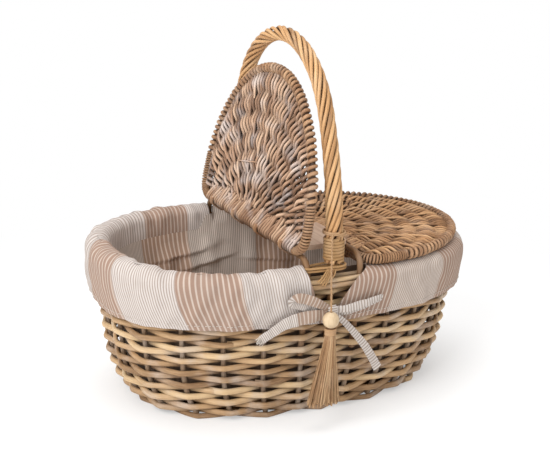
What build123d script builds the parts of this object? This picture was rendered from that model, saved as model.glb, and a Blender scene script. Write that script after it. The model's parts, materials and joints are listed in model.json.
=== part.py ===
from build123d import *
import math
import os

# Oval willow hamper with two half lids, a roped bow handle and a cloth liner.
# Millimetres. X runs along the basket, the front is -Y, Z is up, and the origin
# is on the ground under the middle of the base.

# Wall: half axes of the stake line at the rim, and how it narrows downwards
RIM_HALF_LENGTH = 188.0
RIM_HALF_WIDTH = 121.0
RIM_HEIGHT = 143.0
WALL_FLARE = 0.115
FOOT_INSET_LENGTH = 25.0
FOOT_INSET_WIDTH = 6.0
FOOT_CURVE_HEIGHT = 57.0
FOOT_CURVE_POWER = 1.75
FOOT_BENDS = 4
FOOT_BEND_POWER = 1.3
OVAL_POWER = 2.5

# Sides of the faceted rods and turned pieces
ROD_SIDES = 6
STAKE_SIDES = 5
STRAND_SIDES = 4
ROUND_SIDES = 12

# Stakes and weavers of the wall
STAKES_PER_END = 10
STAKE_RADIUS = 2.6
STAKE_FOOT = 4.5
WEAVER_THICKNESS = 4.0
WEAVER_HEIGHT = 6.0
WEAVER_PITCH = 6.5
FIRST_ROW_HEIGHT = 8.0
WEAVE_CLEARANCE = 0.25

# Rim border: two rods each side of the stakes and a capping rod at each end
BORDER_HEIGHT = 6.0
BORDER_CAP_HEIGHT = 4.0
BORDER_CAP_WIDTH = 9.0
BORDER_SIDES = 36

# Base: pierced cross sticks, threaded long sticks, pairs of woven rings
BASE_RINGS = 5
BASE_RING_WIDTH = 11.2
BASE_RING_PITCH = 12.2
BASE_RING_HEIGHT = 3.6
BASE_RING_SIDES = 20
CROSS_STICKS = 7
CROSS_STICK_PITCH = 31.0
CROSS_STICK_WIDTH = 7.0
STICK_HEIGHT = 5.4
LONG_STICKS = 3
LONG_STICK_PITCH = 15.0
LONG_STICK_WIDTH = 5.0
LONG_STICK_HEIGHT = 3.0

# Handle: three-centred arch of a core rod roped over by strands
HANDLE_INSET = 2.0
HANDLE_HEIGHT = 219.0
HANDLE_SHOULDER = 19.0
HANDLE_SPRING_RISE = 27.0
HANDLE_CORE_RADIUS = 2.9
HANDLE_SIDE_STEPS = 5
HANDLE_TOP_STEPS = 14
STRAND_COUNT = 8
STRAND_RADIUS = 2.4
STRAND_CENTRE_RADIUS = 6.6
STRAND_TURNS = 4.0
STRAND_STEPS = 28
STRAND_TOP_SHARE = 0.84
STRAND_FOOT_RISE = 17.3
LEG_FOOT_ROWS = 9

# Cane windings at the handle's feet, at heights above the rim
CANE_CLEARANCE = 0.3
COLLAR_CANE_WIDTH = 2.5
COLLAR_CANE_THICKNESS = 1.1
COLLAR_PITCH = 3.1
COLLAR_TURNS = 7
COLLAR_FOOT_RISE = 19.0
WINDING_STEPS = 10
LASHING_CANE = 1.9
LASHING_PITCH = 2.6
LASHING_TURNS = 2
LASHING_FOOT_RISE = 10.5
LASHING_END_STEPS = 5

# Hinge bows, bridge board and lids
HINGE_BAR_X = 28.6
HINGE_BAR_RISE = 22.0
HINGE_BAR_RADIUS = 3.0
HINGE_BEND_RADIUS = 12.0
BEND_STEPS = 4
LID_EDGE_X = 34.3
LID_RISE = 15.0
LID_END_MARGIN = 4.3
LID_SIDE_OVERHANG = 1.0
LID_CORNER_RADIUS = 20.0
LID_SHOULDER = 17.0
LID_SIDE_STEPS = 4
LID_TIP_STEPS = 12
LID_FRAME_RADIUS = 5.0
LID_FAN_RADIUS = 120.0
LID_RIBS = 4
LID_RIB_FIRST = 28.0
LID_RIB_PITCH = 31.0
LID_RIB_RADIUS = 1.8
LID_RIB_STEPS = 8
LID_WEAVERS = 32
LID_WEAVER_WIDTH = 5.5
LID_WEAVER_THICKNESS = 2.6
LID_FAN_HALF_ANGLE = 40.0
LID_CLEARANCE = 0.3
LID_OPEN_ANGLE = 100.0
LOOP_WIDTH = 7.0
LOOP_THICKNESS = 1.2
LOOP_SIDES = 10
LOOP_COUNT = 4
BRIDGE_SIDE_GAP = 1.6
BRIDGE_END_MARGIN = 21.0
BRIDGE_THICKNESS = 5.0
BRIDGE_CORNER = 6.0
NOTCH_CLEARANCE = 0.4

# Cloth liner
CLOTH_THICKNESS = 1.6
LINER_STEP = 12.3
LINER_FLOOR_GAP = 0.4
LINER_TOP_DROP = 11.0
LINER_SIDES = 36
CUFF_DEPTH = 39.0
CUFF_ROLL = 9.6
CUFF_LEFT_RISE = 6.5
CUFF_CROWN_DROP = 2.3
CUFF_CROWN_REACH = 7.5
CUFF_BULGE = 12.4
CUFF_HEM_STEP = 12.0
CUFF_END_X = 36.5
CUFF_SLANT = 0.45
CUFF_SLANT_RUN = 70.0
CUFF_FOLDS = 6
CUFF_FOLD_DEPTH = 0.9
CUFF_STATIONS = 25

# Tie bow at each split of the cuff
TIE_WIDTH = 9.0
TIE_THICKNESS = 1.4
TIE_X = -9.0
TIE_DROP = 26.0
TIE_STEP = 13.6
TIE_KNOT_LENGTH = 12.0
TIE_KNOT_HEIGHT = 11.0
TIE_KNOT_DEPTH = 6.0
TIE_LOOP_WIDTH = 6.0
TIE_LOOP_TIP_RADIUS = 6.0
TIE_LOOP_NECK_RADIUS = 2.6
TIE_LEFT_LOOP_REACH = 46.0
TIE_LEFT_LOOP_RISE = 14.0
TIE_RIGHT_LOOP_REACH = 56.0
TIE_RIGHT_LOOP_RISE = 6.0
TIE_LEFT_TAIL_REACH = 76.0
TIE_LEFT_TAIL_DROP = 24.0
TIE_LEFT_TAIL_SAG = 0.55
TIE_RIGHT_TAIL_REACH = 57.0
TIE_RIGHT_TAIL_DROP = 68.0
TIE_RIGHT_TAIL_SAG = 1.6
TIE_TAIL_STEPS = 4
TIE_GAP = 0.4

# Tassel: its cord's route as x, distance out from the rim, and height above the rim
CORD_RADIUS = 1.0
CORD_SIDES = 6
CORD_BEND_SHARE = 0.45
CORD_ROUTE = [
    (-7.6, 8.2, 47.0),
    (-8.4, 10.0, 25.5),
    (-10.6, 15.0, 4.5),
    (-14.5, 24.5, -15.0),
    (-14.5, 24.5, -35.0),
]
HITCH_TURNS = 2
HITCH_PITCH = 2.6
HITCH_RISE = 44.2
BEAD_RADIUS = 8.0
BEAD_BORE = 1.5
BEAD_DROP = 31.0
NECK_RADIUS = 5.6
NECK_END_RADIUS = 5.0
NECK_HEIGHT = 7.0
SKIRT_HEIGHT = 72.0
SKIRT_HALF_WIDTH = 16.0
SKIRT_HALF_DEPTH = 9.0
SKIRT_FLARE_POWER = 0.9
SKIRT_SECTIONS = 4

# Heights and spans that follow from these
ROW_SPACE = RIM_HEIGHT - BORDER_HEIGHT - WEAVER_HEIGHT / 2 - FIRST_ROW_HEIGHT
WEAVE_ROWS = int(ROW_SPACE / WEAVER_PITCH) + 1
LEG_FOOT = FIRST_ROW_HEIGHT + (LEG_FOOT_ROWS - 0.5) * WEAVER_PITCH
HANDLE_HALF_SPAN = RIM_HALF_WIDTH - HANDLE_INSET
HANDLE_APEX = RIM_HEIGHT + HANDLE_HEIGHT
HANDLE_TOP_RADIUS = HANDLE_HALF_SPAN - HANDLE_SHOULDER
HANDLE_SPRING_HEIGHT = RIM_HEIGHT + HANDLE_SPRING_RISE
STRAND_FOOT = RIM_HEIGHT + STRAND_FOOT_RISE
COLLAR_FOOT = RIM_HEIGHT + COLLAR_FOOT_RISE
LASHING_FOOT = RIM_HEIGHT + LASHING_FOOT_RISE
HINGE_BAR_HEIGHT = RIM_HEIGHT + HINGE_BAR_RISE
LID_HEIGHT = RIM_HEIGHT + LID_RISE
LID_LENGTH = RIM_HALF_LENGTH + LID_END_MARGIN - LID_EDGE_X
LID_HALF_WIDTH = RIM_HALF_WIDTH + LID_SIDE_OVERHANG
LID_TIP_RADIUS = LID_HALF_WIDTH - LID_SHOULDER
BRIDGE_HALF_WIDTH = HINGE_BAR_X - BRIDGE_SIDE_GAP
BRIDGE_HALF_LENGTH = RIM_HALF_WIDTH - BRIDGE_END_MARGIN
LINER_TOP = RIM_HEIGHT - LINER_TOP_DROP
CUFF_HEM = RIM_HEIGHT - CUFF_DEPTH
CUFF_TOP = RIM_HEIGHT + CUFF_ROLL
TIE_HEIGHT = RIM_HEIGHT - TIE_DROP
HITCH_FOOT = RIM_HEIGHT + HITCH_RISE
BEAD_HEIGHT = RIM_HEIGHT - BEAD_DROP
CORD_POINTS = [(x, -RIM_HALF_WIDTH - out, RIM_HEIGHT + up) for x, out, up in CORD_ROUTE]
FOOT_RISE = FOOT_CURVE_HEIGHT - STAKE_FOOT
FOOT_LEVELS = [STAKE_FOOT + FOOT_RISE * (i / FOOT_BENDS) ** FOOT_BEND_POWER for i in range(FOOT_BENDS + 1)]


def foot_share(z):
    """Share of the foot inset that a smooth foot has left at a height."""
    rise = 1 - z / FOOT_CURVE_HEIGHT
    return 1 - (1 - rise**FOOT_CURVE_POWER) ** (1 / FOOT_CURVE_POWER)


def foot_curve(z):
    """Share of the foot inset at a height, straight between the bends of the stakes."""
    for low, high in zip(FOOT_LEVELS, FOOT_LEVELS[1:]):
        if z < high:
            part = (z - low) / (high - low)
            return foot_share(low) * (1 - part) + foot_share(high) * part
    return 0.0


def half_axes(z):
    """Half length and half width of the stake line at a height."""
    lean = WALL_FLARE * (RIM_HEIGHT - z)
    curve = foot_curve(z)
    return (
        RIM_HALF_LENGTH - lean - FOOT_INSET_LENGTH * curve,
        RIM_HALF_WIDTH - lean - FOOT_INSET_WIDTH * curve,
    )


def oval(a, b, turn):
    """Point of an oval at an angle, counted from +X."""
    c, s = math.cos(turn), math.sin(turn)
    return (
        math.copysign(a * abs(c) ** (2 / OVAL_POWER), c),
        math.copysign(b * abs(s) ** (2 / OVAL_POWER), s),
    )


def oval_normal(a, b, x, y):
    """Outward unit normal of an oval at one of its points."""
    nx = math.copysign((abs(x) / a) ** (OVAL_POWER - 1) / a, x)
    ny = math.copysign((abs(y) / b) ** (OVAL_POWER - 1) / b, y)
    size = math.hypot(nx, ny)
    return nx / size, ny / size


def even_turns(x_start, count):
    """Angles that divide the right end of the rim evenly, from front to back."""
    start = math.acos((x_start / RIM_HALF_LENGTH) ** (OVAL_POWER / 2))
    fine = 2000
    turns = [start * (2 * i / fine - 1) for i in range(fine + 1)]
    points = [oval(RIM_HALF_LENGTH, RIM_HALF_WIDTH, t) for t in turns]
    run = [0.0]
    for p, q in zip(points, points[1:]):
        run.append(run[-1] + math.dist(p, q))
    picked = []
    at = 0
    for i in range(count):
        while run[at] < run[-1] * i / (count - 1) - 1e-9 and at < fine:
            at += 1
        picked.append(turns[at])
    return picked, run[-1]


def polygon_face(points):
    return make_face(Polyline(*points, close=True).edges())


def ring(outer, inner, z, height):
    """Flat band between two closed outlines."""
    band = Plane.XY.offset(z) * (polygon_face(outer) - polygon_face(inner))
    return extrude(band, height)


def oval_outline(a, b, sides):
    return [oval(a, b, 2 * math.pi * (i + 0.5) / sides) for i in range(sides)]


def skin(sections, closed=False):
    """Solid with flat facets through sections of equal point counts, capped or closed on itself."""
    count = len(sections[0])
    faces = []
    pairs = list(zip(sections, sections[1:]))
    if closed:
        pairs.append((sections[-1], sections[0]))
    for here, there in pairs:
        for i in range(count):
            j = (i + 1) % count
            for corner in ((here[i], here[j], there[j]), (here[i], there[j], there[i])):
                faces.append(polygon_face(corner))
    if not closed:
        faces.append(polygon_face(sections[0]))
        faces.append(polygon_face(sections[-1]))
    solid = Solid(Shell(faces))
    return solid if solid.volume > 0 else Solid(Shell([-f for f in faces]))


def regular(radius, sides):
    turns = [2 * math.pi * (i + 0.5) / sides for i in range(sides)]
    return [(radius * math.cos(t), radius * math.sin(t)) for t in turns]


def rectangle(wide, high):
    return [(x * wide / 2, y * high / 2) for x, y in ((1, 1), (-1, 1), (-1, -1), (1, -1))]


def rod(stations, closed=False):
    """Faceted rod through (place, across, along, section points) stations."""
    sections = []
    for place, across, along, section in stations:
        plane = Plane(origin=place, x_dir=across, z_dir=along)
        sections.append([tuple(plane.from_local_coords((x, y, 0))) for x, y in section])
    return skin(sections, closed)


def tube(points, across, radius, sides, closed=False):
    """Faceted round rod through points of a flat curve; across is square to its plane."""
    stations = []
    for i, place in enumerate(points):
        last = len(points) - 1
        ahead = points[(i + 1) % len(points)] if closed else points[min(i + 1, last)]
        behind = points[i - 1] if closed else points[max(i - 1, 0)]
        along = Vector(*ahead) - Vector(*behind)
        stations.append((place, across, along, regular(radius, sides)))
    return rod(stations, closed)


def arc_points(centre, radius, start, end, steps):
    """Points of an arc as pairs, both ends included."""
    turns = [start + (end - start) * i / steps for i in range(steps + 1)]
    return [(centre[0] + radius * math.cos(t), centre[1] + radius * math.sin(t)) for t in turns]


def save(name, shapes):
    solids = []
    for shape in shapes:
        solids.extend(shape.solids())
    export_step(Compound(children=solids) if len(solids) > 1 else solids[0], f"parts/{name}.step")


# Handle curve

HANDLE_TOP_CENTRE = HANDLE_APEX - HANDLE_TOP_RADIUS
HANDLE_RISE = HANDLE_TOP_CENTRE - HANDLE_SPRING_HEIGHT
HANDLE_SIDE_RADIUS = (HANDLE_HALF_SPAN**2 + HANDLE_RISE**2 - HANDLE_TOP_RADIUS**2) / (
    2 * (HANDLE_HALF_SPAN - HANDLE_TOP_RADIUS)
)
HANDLE_SIDE_CENTRE = HANDLE_SIDE_RADIUS - HANDLE_HALF_SPAN
HANDLE_JOIN = math.atan2(HANDLE_RISE, HANDLE_SIDE_CENTRE)
LEG_TURN = math.atan(WALL_FLARE)


def side_arc(turn):
    """Half span and height of the handle's side arc at an angle."""
    return (
        HANDLE_SIDE_RADIUS * math.cos(turn) - HANDLE_SIDE_CENTRE,
        HANDLE_SPRING_HEIGHT + HANDLE_SIDE_RADIUS * math.sin(turn),
    )


LEG_TOP = side_arc(-LEG_TURN)


def leg_half_span(z):
    """Half span of the handle's core below the arch."""
    if z < LEG_TOP[1]:
        return LEG_TOP[0] - WALL_FLARE * (LEG_TOP[1] - z)
    return side_arc(math.asin((z - HANDLE_SPRING_HEIGHT) / HANDLE_SIDE_RADIUS))[0]


def handle_at(run):
    """Place and direction on the arch, run in mm from the apex, towards the back."""
    top = HANDLE_TOP_RADIUS * (math.pi / 2 - HANDLE_JOIN)
    side = abs(run)
    if side <= top:
        turn = math.pi / 2 - side / HANDLE_TOP_RADIUS
        y = HANDLE_TOP_RADIUS * math.cos(turn)
        z = HANDLE_TOP_CENTRE + HANDLE_TOP_RADIUS * math.sin(turn)
    else:
        turn = HANDLE_JOIN - (side - top) / HANDLE_SIDE_RADIUS
        y, z = side_arc(turn)
    sign = math.copysign(1, run)
    return (0, sign * y, z), (0, math.sin(turn), -sign * math.cos(turn))


def handle_run(z):
    """Run from the apex down to a height on the side arc."""
    turn = math.asin((z - HANDLE_SPRING_HEIGHT) / HANDLE_SIDE_RADIUS)
    top = HANDLE_TOP_RADIUS * (math.pi / 2 - HANDLE_JOIN)
    return top + HANDLE_SIDE_RADIUS * (HANDLE_JOIN - turn)


# Stations of the wall: front leg, post, stakes, post, back leg, and so on round

LEG = "leg"
POST = "post"
STAKE = "stake"
END_TURNS = even_turns(HINGE_BAR_X, STAKES_PER_END + 2)[0]
STATIONS = [(LEG, -math.pi / 2), (POST, END_TURNS[0])]
STATIONS += [(STAKE, t) for t in END_TURNS[1:-1]]
STATIONS += [(POST, END_TURNS[-1]), (LEG, math.pi / 2), (POST, math.pi + END_TURNS[0])]
STATIONS += [(STAKE, math.pi + t) for t in END_TURNS[1:-1]]
STATIONS += [(POST, math.pi + END_TURNS[-1])]
STATION_RADIUS = {LEG: HANDLE_CORE_RADIUS, POST: HINGE_BAR_RADIUS, STAKE: STAKE_RADIUS}


def station_place(station, z):
    """Plan point of a stake, handle leg or hinge post at a height."""
    kind, turn = station
    a, b = half_axes(z)
    x, y = oval(a, b, turn)
    if z >= LEG_FOOT and kind == LEG:
        return 0.0, math.copysign(leg_half_span(z), y)
    if z >= LEG_FOOT and kind == POST:
        x = math.copysign(HINGE_BAR_X, x)
        y = math.copysign(b * (1 - (HINGE_BAR_X / a) ** OVAL_POWER) ** (1 / OVAL_POWER), y)
    return x, y


def row_height(row):
    return FIRST_ROW_HEIGHT + row * WEAVER_PITCH


def row_step(index, z):
    """How far a weaver's middle stands off the stake that it passes."""
    radius = STATION_RADIUS[STATIONS[index][0]]
    here = station_place(STATIONS[index], z)
    beside = (STATIONS[index - 1], STATIONS[(index + 1) % len(STATIONS)])
    span = min(math.dist(here, station_place(s, z)) for s in beside)
    seat = radius + WEAVER_THICKNESS / 2 + WEAVE_CLEARANCE
    low, level, high = (half_axes(z + s * WEAVER_HEIGHT / 2)[0] for s in (-1, 0, 1))
    drift = max(high - level, level - low)
    return (seat + drift) / (1 - 2 * radius / span)


def weave_row(row):
    """One weaver course: outside one stake and inside the next, all round."""
    z = row_height(row)
    a, b = half_axes(z)
    outer, inner = [], []
    for index, station in enumerate(STATIONS):
        x, y = station_place(station, z)
        nx, ny = oval_normal(a, b, x, y)
        side = 1 if (index + row) % 2 else -1
        step = side * row_step(index, z)
        for edge, grow in ((outer, WEAVER_THICKNESS / 2), (inner, -WEAVER_THICKNESS / 2)):
            edge.append((x + nx * (step + grow), y + ny * (step + grow)))
    return ring(outer, inner, z - WEAVER_HEIGHT / 2, WEAVER_HEIGHT)


def stake(station):
    """Upright rod from the foot curve to the rim, or to the end of a leg above."""
    top = RIM_HEIGHT if station[0] == STAKE else LEG_FOOT - 2 * CANE_CLEARANCE
    bends = FOOT_LEVELS + [top]
    places = [(*station_place(station, z), z) for z in bends]
    section = regular(STAKE_RADIUS, STAKE_SIDES)
    return rod([(p, (1, 0, 0), (0, 0, 1), section) for p in places])


def border():
    """Rods that close the rim inside and outside the stakes, with a cap on each end."""
    a, b = half_axes(RIM_HEIGHT)
    half = WEAVER_THICKNESS / 2
    out = HINGE_BAR_RADIUS + half + WEAVE_CLEARANCE
    low = RIM_HEIGHT - BORDER_HEIGHT
    rods = []
    leg = RIM_HALF_WIDTH - leg_half_span(low)
    inside = leg + HANDLE_CORE_RADIUS + half + WEAVE_CLEARANCE
    for step in (out, -inside):
        outer = oval_outline(a + step + half, b + step + half, BORDER_SIDES)
        inner = oval_outline(a + step - half, b + step - half, BORDER_SIDES)
        rods.append(ring(outer, inner, low, BORDER_HEIGHT))
    wide = BORDER_CAP_WIDTH / 2
    cap = ring(
        oval_outline(a + wide, b + wide, BORDER_SIDES),
        oval_outline(a - wide, b - wide, BORDER_SIDES),
        RIM_HEIGHT + WEAVE_CLEARANCE,
        BORDER_CAP_HEIGHT,
    )
    split = Box(2 * CUFF_END_X, 4 * b, 4 * RIM_HEIGHT)
    return rods + (cap - split).solids()


# Base

FIRST_ROW_STEP = max(row_step(i, FIRST_ROW_HEIGHT) for i in range(len(STATIONS)))
BASE_INSET = FIRST_ROW_STEP + WEAVER_THICKNESS / 2 + WEAVE_CLEARANCE
BASE_HALF_LENGTH = half_axes(FIRST_ROW_HEIGHT)[0] - BASE_INSET
BASE_HALF_WIDTH = half_axes(FIRST_ROW_HEIGHT)[1] - BASE_INSET
STICK_LEVEL = BASE_RING_HEIGHT + WEAVE_CLEARANCE
OVER_LEVEL = STICK_LEVEL + STICK_HEIGHT + WEAVE_CLEARANCE
BASE_TOP = OVER_LEVEL + BASE_RING_HEIGHT
STICK_MARGIN = BASE_RING_WIDTH / 4


def base_rings(level):
    rings = []
    for i in range(BASE_RINGS):
        a = BASE_HALF_LENGTH - i * BASE_RING_PITCH
        b = BASE_HALF_WIDTH - i * BASE_RING_PITCH
        outer = oval_outline(a, b, BASE_RING_SIDES)
        inner = oval_outline(a - BASE_RING_WIDTH, b - BASE_RING_WIDTH, BASE_RING_SIDES)
        rings.append(ring(outer, inner, level, BASE_RING_HEIGHT))
    return rings


def long_stick(index, spare=0.0):
    """One lengthwise stick, or the slit that it is threaded through."""
    y = (index - (LONG_STICKS - 1) / 2) * LONG_STICK_PITCH
    reach = BASE_HALF_LENGTH * (1 - (abs(y) / BASE_HALF_WIDTH) ** OVAL_POWER) ** (1 / OVAL_POWER)
    length = 2 * (reach - STICK_MARGIN)
    size = (length, LONG_STICK_WIDTH + 2 * spare, LONG_STICK_HEIGHT + 2 * spare)
    return Pos(0, y, STICK_LEVEL + STICK_HEIGHT / 2) * Box(*size)


def cross_stick(index):
    x = (index - (CROSS_STICKS - 1) / 2) * CROSS_STICK_PITCH
    reach = BASE_HALF_WIDTH * (1 - (abs(x) / BASE_HALF_LENGTH) ** OVAL_POWER) ** (1 / OVAL_POWER)
    stick = Box(CROSS_STICK_WIDTH, 2 * (reach - STICK_MARGIN), STICK_HEIGHT)
    stick = Pos(x, 0, STICK_LEVEL + STICK_HEIGHT / 2) * stick
    for i in range(LONG_STICKS):
        stick -= long_stick(i, WEAVE_CLEARANCE)
    return stick


# Handle

def handle_core():
    """Bent rod, driven down into the wall at both ends."""
    foot = (leg_half_span(LEG_FOOT), LEG_FOOT)
    side = (-HANDLE_SIDE_CENTRE, HANDLE_SPRING_HEIGHT)
    rise = arc_points(side, HANDLE_SIDE_RADIUS, -LEG_TURN, HANDLE_JOIN, HANDLE_SIDE_STEPS)
    top = (0, HANDLE_TOP_CENTRE)
    crown = arc_points(top, HANDLE_TOP_RADIUS, HANDLE_JOIN, math.pi - HANDLE_JOIN, HANDLE_TOP_STEPS)
    half = [foot] + rise
    points = half + crown[1:-1] + [(-y, z) for y, z in reversed(half)]
    return tube([(0, y, z) for y, z in points], (1, 0, 0), HANDLE_CORE_RADIUS, ROD_SIDES)


def strand_taper(share):
    """Size of a strand at a share of the way from the apex to its foot."""
    return STRAND_TOP_SHARE + (1 - STRAND_TOP_SHARE) * share**2


def handle_strand(index):
    """One rod laid round the core in a long twist, thinner towards the apex."""
    end = handle_run(STRAND_FOOT)
    stations = []
    for i in range(STRAND_STEPS + 1):
        share = 2 * i / STRAND_STEPS - 1
        place, along = handle_at(share * end)
        turn = 2 * math.pi * (index / STRAND_COUNT + STRAND_TURNS * share / 2)
        taper = strand_taper(share)
        normal = Vector(*along).cross(Vector(1, 0, 0))
        across = Vector(1, 0, 0) * math.cos(turn) + normal * math.sin(turn)
        centre = Vector(*place) + across * (STRAND_CENTRE_RADIUS * taper)
        section = regular(STRAND_RADIUS * taper, STRAND_SIDES)
        stations.append((centre, (1, 0, 0), along, section))
    return rod(stations)


def winding(centre_y, foot, turns, pitch, radius, section):
    """Cane wound round a handle foot in one unbroken helix."""
    stations = []
    points = []
    for i in range(turns * WINDING_STEPS + 1):
        turn = 2 * math.pi * i / WINDING_STEPS
        across = (math.cos(turn), math.sin(turn), 0)
        place = (radius * across[0], centre_y + radius * across[1], foot + pitch * i / WINDING_STEPS)
        along = (-across[1], across[0], pitch / (2 * math.pi * radius))
        stations.append((place, across, along, section))
        points.append(place)
    loops = [math.dist(p, q) for p, q in zip(points, points[WINDING_STEPS:])]
    return rod(stations), min(loops)


STRAND_REACH = STRAND_CENTRE_RADIUS + STRAND_RADIUS
WINDING_SAG = 1 / math.cos(math.pi / WINDING_STEPS)
COLLAR_RADIUS = (STRAND_REACH + CANE_CLEARANCE) * WINDING_SAG + COLLAR_CANE_THICKNESS / 2
HITCH_REACH = STRAND_REACH * strand_taper(handle_run(HITCH_FOOT) / handle_run(STRAND_FOOT))
HITCH_RADIUS = (HITCH_REACH + CANE_CLEARANCE) * WINDING_SAG + CORD_RADIUS


def collar(side):
    section = rectangle(COLLAR_CANE_THICKNESS, COLLAR_CANE_WIDTH)
    height = COLLAR_TURNS * COLLAR_PITCH
    centre = side * leg_half_span(COLLAR_FOOT + height / 2)
    coil, loop = winding(centre, COLLAR_FOOT, COLLAR_TURNS, COLLAR_PITCH, COLLAR_RADIUS, section)
    print("collar winding, gap between turns", round(loop - COLLAR_CANE_WIDTH, 2))
    return coil


def hitch():
    """Cord tied round the handle above the front collar."""
    centre = -leg_half_span(HITCH_FOOT)
    section = regular(CORD_RADIUS, CORD_SIDES)
    coil, loop = winding(centre, HITCH_FOOT, HITCH_TURNS, HITCH_PITCH, HITCH_RADIUS, section)
    print("cord hitch, gap between turns", round(loop - 2 * CORD_RADIUS, 2))
    return coil


def lashing(side):
    """Cane taken twice round the hinge posts and the handle foot between them."""
    level = LASHING_FOOT + LASHING_TURNS * LASHING_PITCH / 2
    leg = leg_half_span(level)
    post = abs(station_place(STATIONS[1], level)[1])
    middle = (leg + post) / 2
    reach = HINGE_BAR_RADIUS + CANE_CLEARANCE + LASHING_CANE / 2
    half_width = (post - leg) / 2 + reach
    outline = []
    for end in (1, -1):
        for i in range(LASHING_END_STEPS + 1):
            turn = math.pi * (i / LASHING_END_STEPS - 0.5)
            x = end * (HINGE_BAR_X + half_width * math.cos(turn))
            outline.append((x, middle + end * half_width * math.sin(turn)))
    count = len(outline)
    points = []
    for i in range(LASHING_TURNS * count + 1):
        x, y = outline[i % count]
        points.append((x, side * y, LASHING_FOOT + LASHING_PITCH * i / count))
    stations = []
    for i, place in enumerate(points):
        ahead = points[min(i + 1, len(points) - 1)]
        behind = points[max(i - 1, 0)]
        along = Vector(*ahead) - Vector(*behind)
        across = along.cross(Vector(0, 0, 1))
        stations.append((place, across, along, rectangle(LASHING_CANE, LASHING_CANE)))
    loops = [math.dist(p, q) for p, q in zip(points, points[count:])]
    print("post lashing, gap between turns", round(min(loops) - LASHING_CANE, 2))
    return rod(stations)


# Hinge bows, bridge and lids

def hinge_bow(side):
    """Rod bent like a wide staple: the bar that a lid swings on, with both ends in the wall."""
    foot = abs(station_place(STATIONS[1], LEG_FOOT)[1])
    top = abs(station_place(STATIONS[1], HINGE_BAR_HEIGHT)[1])
    lean = math.atan2(top - foot, HINGE_BAR_HEIGHT - LEG_FOOT)
    back = HINGE_BEND_RADIUS * math.tan((math.pi / 2 + lean) / 2)
    centre = (top - back, HINGE_BAR_HEIGHT - HINGE_BEND_RADIUS)
    bend = arc_points(centre, HINGE_BEND_RADIUS, -lean, math.pi / 2, BEND_STEPS)
    half = [(foot, LEG_FOOT)] + bend
    points = half + [(-y, z) for y, z in reversed(half)]
    places = [(side * HINGE_BAR_X, y, z) for y, z in points]
    return tube(places, (1, 0, 0), HINGE_BAR_RADIUS, ROD_SIDES)


LOOP_PITCH = 2 * (LID_HALF_WIDTH - LID_CORNER_RADIUS) / (LOOP_COUNT - 0.4)
LOOP_PLACES = [(i - (LOOP_COUNT - 1) / 2) * LOOP_PITCH for i in range(LOOP_COUNT)]
LOOP_BAR_REACH = HINGE_BAR_RADIUS + LID_CLEARANCE + LOOP_THICKNESS
LOOP_EDGE_REACH = LID_FRAME_RADIUS + LID_CLEARANCE + LOOP_THICKNESS


def bridge():
    """Board that lies on the two hinge bars, notched for the lids' loops."""
    seat = math.sqrt(HINGE_BAR_RADIUS**2 - (HINGE_BAR_X - BRIDGE_HALF_WIDTH) ** 2)
    level = HINGE_BAR_HEIGHT + seat + WEAVE_CLEARANCE
    outline = Rectangle(2 * BRIDGE_HALF_WIDTH, 2 * BRIDGE_HALF_LENGTH)
    outline = chamfer(outline.vertices(), BRIDGE_CORNER)
    for y in LOOP_PLACES:
        for side in (-1, 1):
            deep = 2 * (LOOP_BAR_REACH + NOTCH_CLEARANCE)
            notch = Rectangle(deep, LOOP_WIDTH + 2 * NOTCH_CLEARANCE)
            outline -= Pos(side * HINGE_BAR_X, y) * notch
    return extrude(Plane.XY.offset(level) * outline, BRIDGE_THICKNESS)


LID_BOW_LENGTH = LID_LENGTH - LID_CORNER_RADIUS
LID_BOW_DEPTH = LID_BOW_LENGTH - LID_TIP_RADIUS
LID_SIDE_RADIUS = (LID_HALF_WIDTH**2 + LID_BOW_DEPTH**2 - LID_TIP_RADIUS**2) / (
    2 * (LID_HALF_WIDTH - LID_TIP_RADIUS)
)
LID_SIDE_CENTRE = LID_SIDE_RADIUS - LID_HALF_WIDTH
LID_TIP_CENTRE = LID_LENGTH - LID_TIP_RADIUS
LID_JOIN = math.atan2(LID_TIP_CENTRE - LID_CORNER_RADIUS, LID_SIDE_CENTRE)
LID_EDGE_HALF = LID_HALF_WIDTH - LID_CORNER_RADIUS


def inside_lid(u, y, inset):
    """Whether a plan point, u from the hinge edge, lies inside the lid's outline less an inset."""
    y = abs(y)
    if u < inset:
        return False
    if u < LID_CORNER_RADIUS:
        if y < LID_EDGE_HALF:
            return True
        return math.hypot(u - LID_CORNER_RADIUS, y - LID_EDGE_HALF) < LID_CORNER_RADIUS - inset
    beyond = u - LID_CORNER_RADIUS
    if math.atan2(beyond, y + LID_SIDE_CENTRE) < LID_JOIN:
        return math.hypot(beyond, y + LID_SIDE_CENTRE) < LID_SIDE_RADIUS - inset
    return math.hypot(u - LID_TIP_CENTRE, y) < LID_TIP_RADIUS - inset


def furthest(inside, low, high):
    """Largest value for which a test still holds, found by halving."""
    for _ in range(40):
        middle = (low + high) / 2
        low, high = (middle, high) if inside(middle) else (low, middle)
    return low


def fan(radius, turn):
    """Plan point of the lid's fan: u from the hinge edge, and y."""
    return radius * math.cos(turn) - LID_FAN_RADIUS, radius * math.sin(turn)


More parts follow.
